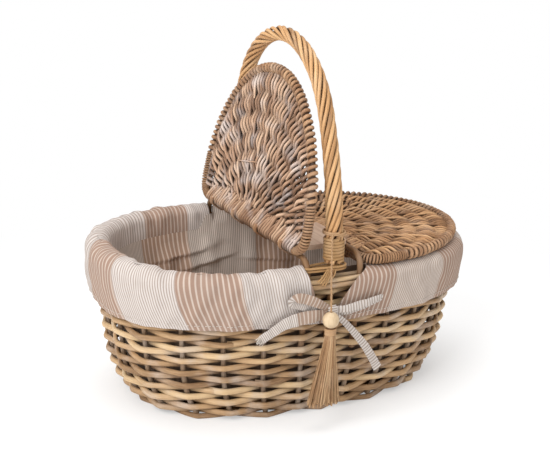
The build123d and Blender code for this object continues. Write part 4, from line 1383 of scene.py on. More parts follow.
@dataclass
class HingeBows:
    """Bent rods that carry the lids: a bar over the basket with a post at each end."""

    shop: Workshop
    wall_levels: Numbers = (66, 90, 115, 140)
    bend: tuple[Pair, ...] = ((0.9, 150.0), (-1.2, 159.5), (-9.0, 164.6))
    bar_height: float = 165.0
    bar_spots: Numbers = (104.0, 96.0, 70.0, 30.0)

    def build(self) -> None:
        """Build both bows."""
        half = [(self.wall_half(z), z) for z in self.wall_levels]
        top = half[-1][0]
        half += [(top + out, z) for out, z in self.bend]
        half += [(y, self.bar_height) for y in self.bar_spots]
        for side in Side:
            name = side.name.lower()
            x = POST_X * side.value
            line = [(x, -y, z) for y, z in half] + [(x, y, z) for y, z in reversed(half)]
            rod = Rod(smooth(line, 120), POST_RADIUS, 0.4)
            bow = self.shop.rods(f"{name}_bow_rod", [rod], BROWN_ROD, sides=10)
            place(bow, Body.BASKET, "willow", f"{name}_hinge_bow")

    @staticmethod
    def wall_half(z: float) -> float:
        """Half width of the stake line where a post runs down it."""
        line = SHAPE.line(z)
        return -float(line.at(np.array([line.arc_of(-SHAPE.post_turn(z))]))[0][1])


@dataclass
class HalfLid:
    """One woven half lid: a wrapped frame, arc ribs and a fan of rods.

    The pairs of pitches, reaches and girths are those of the fine cane at the hinge
    corners and of the coarse wraps.
    """

    shop: Workshop
    rng: np.random.Generator
    side: Side
    finish: RodFinish
    shut_edge: Pair = (34.3, 158.0)
    raised_edge: Pair = (-34.5, 171.83)
    raised_lean: Pair = (0.17365, 0.98481)
    straight: float = 105.0
    bend: float = 17.0
    flank: Numbers = (20.0, -23.5, 145.5)
    flank_turn: float = 54.5
    tip: Pair = (53.0, 105.0)
    tip_turn: float = 35.5
    core: float = 2.9
    wrap_start: float = 102.5
    wrap_step: float = 0.3
    pitches: Pair = (2.8, 6.4)
    reaches: Pair = (3.9, 3.3)
    girths: Pair = (1.25, 2.2)
    corner: float = 46.0
    ribs: Numbers = (34.0, 54.0, 74.0, 94.0, 114.0, 134.0, 154.0)
    rib_girth: float = 1.5
    rib_margin: float = 4.0
    fan: float = 12.0
    half_fan: float = math.radians(83.0)
    fan_start: float = 22.0
    fan_overrun: float = 34.0
    spacing: float = 3.15
    stagger: float = 0.382
    let_in: float = 18.0
    kink: float = 0.93
    lift: float = 3.0
    fan_girth: float = 2.12
    over_edge: tuple[Spot, ...] = (
        (19, -16, -2.6), (9, -7, -3.9), (1, -1, -4.5), (-4.2, 2, 0), (1, 5, 4.5), (9, 11, 3.9),
        (19, 20, 2.6),
    )
    loose_ends: tuple[tuple[Spot, ...], ...] = (
        ((54, 42, -5.0), (58, 18, -6.2), (62, -4, -5.0)),
        ((65, -51, -5.0), (50, -34, -6.4), (33, -14, -4.8)),
    )
    hinges: Numbers = (-85.0, -28.3, 28.3, 85.0)
    bar: Pair = (-5.7, 7.0)
    edge: Array = field(init=False)

    def __post_init__(self) -> None:
        """Note where the lines of the fan leave the frame."""
        ring = self.outline()
        outer = ring[ring[:, 0] > 0.5] + (self.fan, 0.0)
        turn = np.arctan2(outer[:, 1], outer[:, 0])
        order = np.argsort(turn)
        self.edge = np.stack([turn[order], np.hypot(*outer.T)[order]])

    @property
    def body(self) -> Body:
        """Body that the lid is."""
        return Body.LEFT_LID if self.side is Side.LEFT else Body.RIGHT_LID

    def to_part(self, local: Array) -> Array:
        """Turn lid coordinates into the frame of the part.

        Args:
            local: Distance from the hinge edge, across and up, of shape (count, 3).

        Returns:
            Points of the same shape.
        """
        u, y, w = local.T
        if self.side is Side.RIGHT:
            x, z = self.shut_edge
            return np.column_stack([x + u, y, z + w])
        x, z = self.raised_edge
        sin, cos = self.raised_lean
        return np.column_stack([x + sin * u + cos * w, y, z + cos * u - sin * w])

    def outline(self) -> Array:
        """Centre line of the frame as a closed ring of (u, y).

        Returns:
            Points of shape (count, 2), the first one not repeated.
        """
        corner = np.radians(np.linspace(0, 90, 14))
        flank = np.radians(np.linspace(0, self.flank_turn, 60))[1:]
        tip = np.radians(np.linspace(self.tip_turn, 0, 36))[1:]
        flank_u, flank_y, wide = self.flank
        tip_u, narrow = self.tip
        sharp, y = self.bend, self.straight
        half = np.concatenate(
            [
                np.column_stack([np.zeros(50), np.linspace(0, y, 50)]),
                np.column_stack([sharp - sharp * np.cos(corner), y + sharp * np.sin(corner)])[1:],
                np.column_stack([flank_u + wide * np.sin(flank), flank_y + wide * np.cos(flank)]),
                np.column_stack([tip_u + narrow * np.cos(tip), narrow * np.sin(tip)]),
            ]
        )
        other = (half * (1, -1))[::-1][1:-1]
        return np.vstack([half, other])

    def build(self) -> None:
        """Build the frame, ribs, fan and hinge loops."""
        name = self.side.name.lower()
        coarse, fine = self.frame()
        ring = self.outline()
        line = self.to_part(np.column_stack([ring, np.zeros(len(ring))]))
        frame = self.shop.rods(f"{name}_lid_wrap", coarse, LID_EDGE)
        # Painted shade in the grooves between the wraps.
        GrooveShade(frame).wound(line, 1.0)
        place(frame, self.body, "lid_willow", f"{name}_lid_frame")
        corner = self.shop.rods(f"{name}_lid_corner_cane", fine, HINGE_CANE)
        GrooveShade(corner).wound(line, 0.75)
        place(corner, self.body, "cane")
        ribs = self.shop.rods(f"{name}_lid_arcs", [self.rib(r) for r in self.ribs], BROWN_ROD)
        place(ribs, self.body, "lid_willow", f"{name}_lid_ribs")
        weave = self.fan_rods() + self.edge_wraps() + self.twigs()
        fan = self.shop.rods(f"{name}_lid_fan", weave, self.finish)
        origin, above = self.to_part(np.array([[0, 0, 0], [0, 0, 1.0]]))
        # Painted shade on the flanks of the fan rods and on what lies deep in the weave.
        groove_shade = GrooveShade(fan)
        groove_shade.flanks(above - origin, 0.9 if self.side is Side.LEFT else 0.7)
        groove_shade.hollows(origin, above - origin)
        place(fan, self.body, "lid_willow", f"{name}_lid_weave")
        loops = self.shop.rods(f"{name}_lid_loops", self.loops(), LID_EDGE)
        place(loops, self.body, "cane", f"{name}_lid_hinge_loops")

    def frame(self) -> tuple[list[Rod], list[Rod]]:
        """Core and wraps of the outer edge.

        Returns:
            The core with the coarse wraps, and the fine cane at both ends.
        """
        ring = np.vstack([self.outline(), self.outline()[:1]])
        flat = np.column_stack([ring[:-1], np.zeros(len(ring) - 1)])
        run = walked(ring)
        at = np.arange(self.wrap_start, run[-1] - self.wrap_start, self.wrap_step)
        centre = pick(at, run, ring)
        ahead = unit(pick(at + self.wrap_step, run, ring) - centre)
        inwards = np.column_stack([ahead[:, 1], -ahead[:, 0]])
        fine = centre[:, 0] < self.corner
        pitch, reach, girth = (np.where(fine, *pair) for pair in (self.pitches, self.reaches, self.girths))
        turn = np.cumsum(2 * math.pi * self.wrap_step / pitch)
        girth = girth * (1 + 0.07 * Waves(SEED + 6, 15, 60).at(at))
        wrap = np.column_stack([centre + inwards * (reach * np.cos(turn))[:, None], reach * np.sin(turn)])
        lap = np.floor(turn / (2 * math.pi)).astype(int)
        # The core is drawn fully in painted shade, seen in the gaps between the wraps.
        coats: tuple[list[Rod], list[Rod]] = ([Rod(self.to_part(flat[::3]), self.core, 0.0, 1.0, True)], [])
        for number in range(lap[0], lap[-1] + 1):
            picked = np.flatnonzero(lap == number)
            picked = np.append(picked, min(picked[-1] + 1, len(at) - 1))
            thin = bool(fine[picked[0]])
            picked = picked if thin else picked[::2]
            # Painted shade on the side of each wrap that turns in towards the weave.
            dark = 0.35 * (1 + np.cos(turn[picked])) / 2
            shade = float(self.rng.uniform(0.45, 0.9))
            coats[thin].append(Rod(self.to_part(wrap[picked]), girth[picked], shade, dark))
        return coats

    def rib(self, radius: float) -> Rod:
        """Arc rib about the fan's centre, from frame to frame.

        Args:
            radius: Radius of the arc.

        Returns:
            The rib.
        """
        swings = np.linspace(0.05, self.half_fan, 160)
        in_frame = self.run_out(swings) > radius + self.rib_margin
        past_edge = radius * np.cos(swings) > self.fan + self.rib_margin
        swing = np.linspace(-1, 1, 48) * swings[in_frame & past_edge].max()
        u, y = radius * np.cos(swing) - self.fan, radius * np.sin(swing)
        local = np.column_stack([u, y, np.zeros(len(swing))])
        # Painted shade on the rib, which lies between the fan rods.
        return Rod(self.to_part(local), self.rib_girth, 0.3, 0.6)

    def run_out(self, swing: Array) -> Array:
        """Radius at which lines of the fan leave the frame."""
        return np.interp(swing, *self.edge)

    def fan_rods(self) -> list[Rod]:
        """Rods from the hinge to the frame, with pairs let in as the fan widens.

        Returns:
            The rods.
        """
        knots = np.array([self.fan_start, *self.ribs, self.ribs[-1] + self.fan_overrun])
        counts = [round(2 * self.half_fan * radius / self.spacing) for radius in knots]
        rays = [(i, 1 if i % 2 else -1) for i in range(counts[0])]
        present = [rays]
        total = counts[0]
        for step, count in enumerate(counts[1:]):
            pairs = (count - len(rays)) // 2
            shift = (0.5 + self.stagger * step) % 1
            gaps = {int((j + shift) * (len(rays) - 1) / pairs) for j in range(pairs)}
            wider = []
            for i, (ray, way) in enumerate(rays):
                wider.append((ray, way))
                if i in gaps:
                    wider += [(total, -way), (total + 1, way)]
                    total += 2
            rays = wider
            present.append(rays)
        routes: dict[int, list[tuple[float, float, int]]] = {}
        for k, (radius, row) in enumerate(zip(knots, present)):
            for i, (ray, way) in enumerate(row):
                swing = self.half_fan * (2 * (i + 0.5) / len(row) - 1)
                routes.setdefault(ray, []).append((radius, swing, way if k % 2 else -way))
        rods = []
        for ray, route in routes.items():
            radii, swings, sides = (np.array(column) for column in zip(*route))
            rods += self._ray(radii, swings, sides, ray >= counts[0])
        return rods

    def _ray(self, knots: Array, swings: Array, sides: Array, joins: bool) -> list[Rod]:
        """One rod of the fan, over and under the ribs.

        Args:
            knots: Radii of the ribs that it crosses.
            swings: Its swing at each of them.
            sides: The face that it lies on at each of them.
            joins: True for a rod that is let in between others.

        Returns:
            The rod, or nothing where the frame leaves no room.
        """
        start = knots[0] - (self.let_in + float(self.rng.uniform(-4, 4)) if joins else 0.0)
        far = np.arange(start, knots[-1], 2.2)
        sway = Waves(int(self.rng.integers(1, 9999)), 40, 160, count=4)
        turn = np.interp(far, knots, swings) + 0.5 / far * sway.at(far)
        ends = self.run_out(turn) - 3.0
        keep = (far < ends) & (far * np.cos(turn) > self.fan + 8.0)
        if keep.sum() < 5:
            return []
        cell = np.clip(np.searchsorted(knots, far) - 1, 0, max(0, len(knots) - 2))
        after = np.minimum(cell + 1, len(knots) - 1)
        gap = np.maximum(knots[after] - knots[cell], 1.0)
        wave = crossing(np.clip((far - knots[cell]) / gap, 0, 1), self.kink)
        lift = self.lift * ((sides[cell] + sides[after]) / 2 + (sides[cell] - sides[after]) / 2 * wave)
        lift *= np.clip((ends - far) / 10, 0.2, 1)
        local = np.column_stack([far * np.cos(turn) - self.fan, far * np.sin(turn), lift])
        girth = self.fan_girth * self.rng.uniform(0.92, 1.06) * np.clip((far - start + 16) / 26, 0.6, 1)
        return [Rod(self.to_part(local[keep]), girth[keep], float(self.rng.uniform(0, 1)))]

    def edge_wraps(self) -> list[Rod]:
        """Slanting rods wound over the hinge edge and the foot of the fan.

        Returns:
            The rods.
        """
        rods = []
        for y in np.arange(-104.0, 105.0, 5.0):
            long = float(self.rng.uniform(0.85, 1.25))
            spots = [(u * long if u > 10 else u, float(y + dy), w) for u, dy, w in self.over_edge]
            girth = 2.05 * self.rng.uniform(0.85, 1.1)
            rods.append(Rod(self.to_part(smooth(spots, 26)), girth, float(self.rng.uniform(0.2, 1))))
        return rods

    def twigs(self) -> list[Rod]:
        """Loose ends that stick out of the raised lid."""
        lines = self.loose_ends if self.side is Side.LEFT else ()
        return [Rod(self.to_part(smooth(line, 16)), 0.9, 0.5) for line in lines]

    def loops(self) -> list[Rod]:
        """Cane wound three times round the bar and the lid's edge at each hinge.

        Returns:
            The loops.
        """
        turn = np.linspace(0, 2 * math.pi, 41)[:-1]
        away = (np.cos(turn - math.atan2(self.bar[1], self.bar[0])) > 0)[:, None]
        around = np.column_stack([np.cos(turn), np.sin(turn)])
        ring = np.where(away, np.array(self.bar) + 4.0 * around, 6.6 * around)
        rods = []
        for y in self.hinges:
            for lap in range(3):
                local = np.column_stack([ring[:, 0], np.full(len(ring), y + 2.3 * (lap - 1)), ring[:, 1]])
                rods.append(Rod(self.to_part(local), 0.95, 0.3 + 0.25 * lap, closed=True))
        return rods


@dataclass
class Liner:
    """Cloth bag with a cuff folded out over the rim at each end.

    A crease runs from one arc length and height to another and has a depth. A row
    of the cuff's profile is its distance outwards, its height, and where the right
    and the left cuff start, by arc length from the front middle. Pairs of puffs,
    skews and stretches are for the right and the left cuff.
    """

    shop: Workshop
    hem: float = 104.0
    top: float = 134.0
    bag_inset: float = 12.6
    fold_depth: float = 1.6
    creases: tuple[Numbers, ...] = (
        (640.0, 512.0, 103.0, 111.0, 4.0),
        (596.0, 505.0, 88.0, 102.0, 6.0),
        (520.0, 420.0, 96.0, 84.0, 4.0),
    )
    profile: tuple[Numbers, ...] = (
        (-11.8, 134, 36.5, 33.5),
        (-12.2, 140, 36.5, 33.5),
        (-11.2, 147.5, 36.5, 33.5),
        (-6.2, 151.6, 36.5, 33.5),
        (0, ROLL_TOP, 35.5, 33.5),
        (6.4, 150.6, 30, 33.5),
        (11.4, 146.0, 20, 31.5),
        (13.3, 138.5, 12.5, 28.3),
        (13.5, 124, 3, 22),
        (13.3, 112, -3.5, 14),
        (13.0, hem, -4.5, 11.5),
    )
    columns: int = 300
    back_gap: float = 34.0
    seam_rise: float = 6.0
    seam_scale: Numbers = (1.002, 1.0026, 1)
    floor_level: float = 15.0
    floor_inset: float = 13.0
    floor_height: float = 14.2
    floor_rings: Numbers = (0.04, 0.2, 0.4, 0.6, 0.8, 0.94)
    low_levels: Numbers = (16.0, 20.0, 26.0, 34.0)
    fold_top: float = 124.0
    crease_fade: float = 9.0
    post_reach: float = 48.0
    post_rise: float = 16.0
    split_half: float = 29.0
    split_rise: float = 8.0
    split_lean: float = 7.0
    crown_arcs: Numbers = (0, 32, 54, 80, 114, 154, 190, 245, 300, 369, 411, 464, 512)
    crown_tops: Numbers = (
        160, 160, 158.5, 156, 156, 157.5, 160.5, 162, 162, 162, 161, 159.5, 159,
    )
    puffs: Pair = (0.8, 1.7)
    skews: Pair = (0.24, 0.42)
    stretches: Pair = (0.0, 50.0)
    stretch_start: float = 276.0
    stretch_length: float = 113.0
    roll_middle: float = 152.0
    roll_spread: float = 14.0
    turn_down: float = 48.0
    turn_soft: float = 9.0

    def build(self) -> None:
        """Build the bag and both cuffs."""
        # The bag is drawn in the lighter cloth as painted light.
        bag = place(self.bag(0.0, LIT_LINER), Body.BASKET, "liner_cloth", "liner_bag")
        # A dark sheet 0.7 mm outside the bag, painted shade seen through the gaps of the wall.
        back = place(self.bag(0.7, LINER_SHADE_SHEET), Body.BASKET, "liner_cloth")
        for side, finish in ((Side.LEFT, LINER_LEFT), (Side.RIGHT, LINER_RIGHT)):
            name = side.name.lower()
            made, seam = self.cuff(side, finish)
            cuff = place(made, Body.BASKET, "liner_cloth", f"liner_cuff_{name}")
            stitches = [Rod(seam[i : i + 2], 0.3, 0.5) for i in range(2, len(seam) - 2, 2)]
            thread = self.shop.rods(f"{name}_hem_thread", stitches, THREAD, sides=5)
            hem = place(thread, Body.BASKET, "liner_cloth")
            for piece in (cuff, hem) if side is Side.LEFT else ():
                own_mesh(piece)

    @staticmethod
    def area(sheet: Piece) -> float:
        """Area of a sheet in square metres."""
        return sum(face.area for face in sheet.data.polygons)

    def bag(self, out: float, finish: Finish) -> Piece:
        """Floor and wall of the bag's cloth, or of the dark sheet of painted shade just outside it, with
        soft upright folds.

        Args:
            out: Distance of this sheet outwards from the inner one, the cloth; the outer sheet is painted
                shade.
            finish: Surface of this face.

        Returns:
            The face of the bag.
        """
        rim_line = SHAPE.line(SHAPE.rim)
        turns = np.array([rim_line.turn_of(a) for a in np.linspace(0, rim_line.length, 361)[:-1]])
        arcs = np.array([rim_line.arc_of(t) for t in turns])
        folds = Waves(SEED + 31, 24, 120, 0.35)
        rows, spots = [], []
        foot = SHAPE.line(self.floor_level)
        for share in self.floor_rings:
            ring = foot.at(np.array([foot.arc_of(t) for t in turns]), out - self.floor_inset) * share
            lift = self.floor_height - out + 0.5 * (1 + folds.at(ring[:, 0], ring[:, 1]))
            rows.append(np.column_stack([ring, lift]))
            spots.append(ring * MM)
        for level in np.concatenate([self.low_levels, np.linspace(44, self.top, 46)]):
            line = SHAPE.line(level)
            depth = self.fold_depth * clamp((level - 14) / 40) * clamp((self.fold_top - level) / 25)
            hold = 0.8 * clamp((level - 100) / 20)
            run = np.array([line.arc_of(t) for t in turns])
            x, y = line.at(run).T
            near = np.clip((self.post_reach - np.abs(x)) / 10, 0, 1)
            middle = np.clip(self.split_half - np.abs(x), 0, 1) * (y > 0)
            lean = self.split_lean * middle * np.clip((-x - 12) / 4, 0, 1)
            lean = lean * max(0.0, (level - self.fold_top) / (self.top - self.fold_top))
            away = out - self.bag_inset + hold - depth * (1 + folds.at(arcs, level))
            away = away + 0.8 * near * hold + lean
            for start, end, low, high, deep in self.creases:
                share = np.clip((arcs - start) / (end - start), 0, 1)
                above = level - low - (high - low) * share
                fold = deep * np.sin(math.pi * share) * np.exp(-above / self.crease_fade)
                away = away - fold * (above > 0) * np.clip(above / 2, 0, 1)
            rise = self.post_rise * near + self.split_rise * middle
            height = level + rise * max(0.0, (level - self.hem) / (self.top - self.hem))
            rows.append(np.column_stack([line.at(run, away), height]))
            spots.append(np.column_stack([arcs, height]) * MM)
        name = "liner_shade_sheet" if out else "liner_bag_cloth"
        return self.shop.grid(name, np.array(rows), np.array(spots), finish, wrap=True, flip=not out)

    def crown(self, side: Side, arc: Array) -> Array:
        """Height of the roll over the rim, by arc length from the front middle.

        Args:
            side: End of the basket.
            arc: Arc lengths away from the front middle, all positive.

        Returns:
            Heights in millimetres.
        """
        if side is Side.RIGHT:
            return np.full(arc.shape, ROLL_TOP)
        return np.interp(arc, self.crown_arcs, self.crown_tops)

    def cuff(self, side: Side, finish: ClothFinish) -> tuple[Piece, Array]:
        """Cuff from inside the rim, over it and down to the hem.

        Args:
            side: End of the basket.
            finish: Cloth with its stripes in place.

        Returns:
            The cuff, and the line of its hem's stitches.
        """
        left = side is Side.LEFT
        line = SHAPE.line(SHAPE.rim)
        profile = smooth(self.profile, 60)
        run = walked(profile[:, :2])
        share = np.linspace(0, 1, self.columns)
        ends = np.clip(np.minimum(share, 1 - share) / 0.03, 0.25, 1)
        puff = Waves(SEED + (41 if left else 42), 16, 90, 0.5)
        drape = Waves(SEED + 44, 14, 60, 0.7)
        ripple = Waves(SEED + 45, 50, 180)
        soft, skew, stretch = (pair[left] for pair in (self.puffs, self.skews, self.stretches))
        rows, spots = [], []
        for (out, z, right_edge, left_edge), down in zip(profile, run):
            outer = out > 0
            below = max(0.0, SHAPE.rim - z)
            front = left_edge if left else right_edge
            back_in = 0.45 * below if outer else 0.0
            arc = front + (line.length / 2 - front - self.back_gap + back_in) * share
            rise = self.crown(side, arc) - ROLL_TOP
            roll = math.exp(-(((z - self.roll_middle) / self.roll_spread) ** 2))
            if outer:
                rise = rise * np.clip((z - 120) / 32.2, 0, 1) ** 1.4
                fall = clamp((150 - z) / 20)
            else:
                rise = rise * (z - self.top) / 18.2
                roll *= clamp((z - self.top) / 8)
                fall = 0.0
            hang = (0.5 + 0.35 * soft) * fall * (1 + drape.at(arc, down)) * 0.7
            bulge = ends * (soft * roll * puff.at(arc, down) + hang)
            away = out - SHAPE.flare * below + bulge * (1 if outer else -0.6)
            flat = line.at(line.length - arc if left else arc, away)
            height = z + rise + 0.5 * soft * roll * puff.at(arc + 30, down) * left
            if z < self.hem + 9:
                height = height + 0.8 * ripple.at(arc)
            rows.append(np.column_stack([flat, height]))
            past = math.log1p(math.exp((down - self.turn_down) / self.turn_soft))
            slide = skew * self.turn_soft * past
            slid = arc + slide - stretch * np.clip((arc - self.stretch_start) / self.stretch_length, 0, 1)
            spots.append(np.column_stack([slid, np.full(self.columns, down)]) * MM)
        name = f"{side.name.lower()}_cuff_cloth"
        seam = rows[int(np.searchsorted(run, run[-1] - self.seam_rise))] * self.seam_scale
        return self.shop.grid(name, np.array(rows), np.array(spots), finish, flip=not left), seam


@dataclass(frozen=True)
class TapeRun:
    """One run of tape: its centre line, its widths and where its stripes start."""

    path: Array
    widths: Numbers
    start: float
    pace: float = 1.0
    flat: bool = False


@dataclass
class TieBow:
    """Tape tied in a bow over the split between the cuffs.

    The spots of loops and tails are seen from the knot: to the right, off the cuff and up.
    """

    shop: Workshop
    rng: np.random.Generator
    knot: Spot = (-9.0, -135.0, 117.0)
    left_loop: tuple[Spot, ...] = (
        (0, -1, 1), (-13, -3.0, 9), (-26, -3.6, 15.5), (-37, -2.8, 18.5), (-42, -0.6, 14),
        (-34, 1, 10.5), (-18, 1, 5), (0, 0, -1),
    )
    right_loop: tuple[Spot, ...] = (
        (0, -1, 1), (16, -3.2, 1.5), (36, -3.6, 4.5), (53, -2, 7), (54.5, 0.5, 5.0), (38, 1.4, 0),
        (16, 0.5, -3), (0, 0, -1),
    )
    left_tail: tuple[Spot, ...] = (
        (0, -1, -1), (-13, -3, -2), (-30, -3, -3), (-47, -2.6, -7), (-60, -2.4, -15),
        (-70, -2, -21),
    )
    right_tail: tuple[Spot, ...] = (
        (0, -0.6, -2), (10, -2.6, -9), (25, -2.2, -24.5), (42, -0.4, -45), (58, 1.6, -70),
    )
    face: float = 131.5
    off_stakes: float = 13.5
    lanes: int = 9
    fray_threads: int = 15
    fray_lengths: Pair = (3.5, 7.5)

    def build(self) -> None:
        """Build the front bow and the back one, which is the same turned round."""
        tapes = self.tapes()
        threads = self.fray(tapes[2])
        for name, sign in (("front", 1), ("back", -1)):
            points, spots, quads = [], [], []
            for run in tapes:
                self._tape(points, spots, quads, run, sign)
            made = self.shop.cloth(f"{name}_bow_tape", np.array(points), np.array(spots) * MM, quads, TAPE)
            bow = place(made, Body.BASKET, "liner_cloth", f"{name}_tie_bow")
            ends = [Rod(rod.points * (sign, sign, 1), rod.girth, rod.shade) for rod in threads]
            thread = self.shop.rods(f"{name}_bow_fray", ends, THREAD, sides=5)
            fray = place(thread, Body.BASKET, "liner_cloth")
            Liner.area(bow)

    def tapes(self) -> list[TapeRun]:
        """Runs of the tape: two loops, two tails and the wrap of the knot.

        Returns:
            The runs, in that order.
        """
        turn = np.linspace(0, 2 * math.pi, 25)
        around = np.column_stack([0 * turn, 3.2 * np.cos(turn) - 0.6, 5.6 * np.sin(turn)])
        wrap = np.array(self.knot) + around
        return [
            TapeRun(self.path(self.left_loop, 44), (5.5, 9.5, 10.5, 10, 5.5), 50.0, 1.25),
            TapeRun(self.path(self.right_loop, 44), (6.5, 8.5, 5.5, 8, 5.5), 108.0, 0.8),
            TapeRun(self.path(self.left_tail, 44), (7.0, 12.5, 13.5, 10.5, 9.5), 62.0, 1.25),
            TapeRun(self.path(self.right_tail, 40), (4.5, 6.5, 7.5, 8.5, 9.5), 108.0, 0.75),
            TapeRun(wrap, (9.5, 9.5), 108.0, flat=True),
        ]

    def path(self, spots: tuple[Spot, ...], count: int) -> Array:
        """Run a tape through spots that keep their distance from the cuffs' face.

        Args:
            spots: Places seen from the knot.
            count: Number of samples.

        Returns:
            The centre line of the tape.
        """
        line = SHAPE.line(SHAPE.rim)
        arcs = np.linspace(-130, 130, 131)
        points = []
        for spot in spots:
            x, y, z = (a + b for a, b in zip(self.knot, spot))
            face = line.at(arcs, self.off_stakes - SHAPE.flare * (SHAPE.rim - max(z, Liner.hem)))
            points.append((x, y + float(np.interp(x, *face.T)) + self.face, z))
        return smooth(points, count)

    def fray(self, tail: TapeRun) -> list[Rod]:
        """Loose threads at the end of a tail.

        Args:
            tail: The tail.

        Returns:
            The threads.
        """
        end, ahead = tail.path[-1], tail.path[-1] - tail.path[-4]
        ahead = ahead / np.linalg.norm(ahead)
        across = np.cross((0.0, -1.0, 0.0), ahead)
        rods = []
        for lane in np.linspace(-0.48, 0.48, self.fray_threads):
            first = end + across * lane * tail.widths[-1] - ahead
            spread = ahead * self.rng.uniform(*self.fray_lengths) + across * self.rng.normal(0, 1.2)
            spread = spread + (0, self.rng.normal(-0.4, 0.5), -0.8)
            thread = np.array([first, first + 0.55 * spread, first + spread])
            rods.append(Rod(thread, 0.28, float(self.rng.uniform(0.2, 1))))
        return rods

    def _tape(self, points: list, spots: list, quads: list, run: TapeRun, sign: int) -> None:
        """Add one run of tape as a ruffled strip of faces.

        Args:
            points: Points so far, in millimetres.
            spots: Their cloth coordinates, in millimetres.
            quads: Faces so far.
            run: The run to add.
            sign: 1 for the front bow, -1 for the back one.
        """
        if run.flat:
            across = np.tile([1.0, 0.0, 0.0], (len(run.path), 1))
        else:
            across = unit(np.cross([0.0, -1.0, 0.0], unit(np.gradient(run.path, axis=0))))
        first = len(points)
        far = walked(run.path)
        widths = np.interp(np.linspace(0, 1, len(run.path)), np.linspace(0, 1, len(run.widths)), run.widths)
        ruffle = Waves(SEED + 71 + first, 7, 26, 0.8)
        for i, spot in enumerate(run.path):
            for lane in np.linspace(-0.5, 0.5, self.lanes):
                cup = 0.5 * math.cos(math.pi * lane)
                if not run.flat:
                    cup += 0.55 * float(ruffle.at(far[i], 6 * lane))
                corner = spot + across[i] * lane * widths[i] - np.array([0, max(cup, -0.3), 0])
                points.append(corner * (sign, sign, 1))
                spots.append((far[i] * run.pace + run.start, lane * widths[i]))
        for i in range(len(run.path) - 1):
            for k in range(self.lanes - 1):
                a = first + i * self.lanes + k
                quads.append((a, a + 1, a + self.lanes + 1, a + self.lanes))


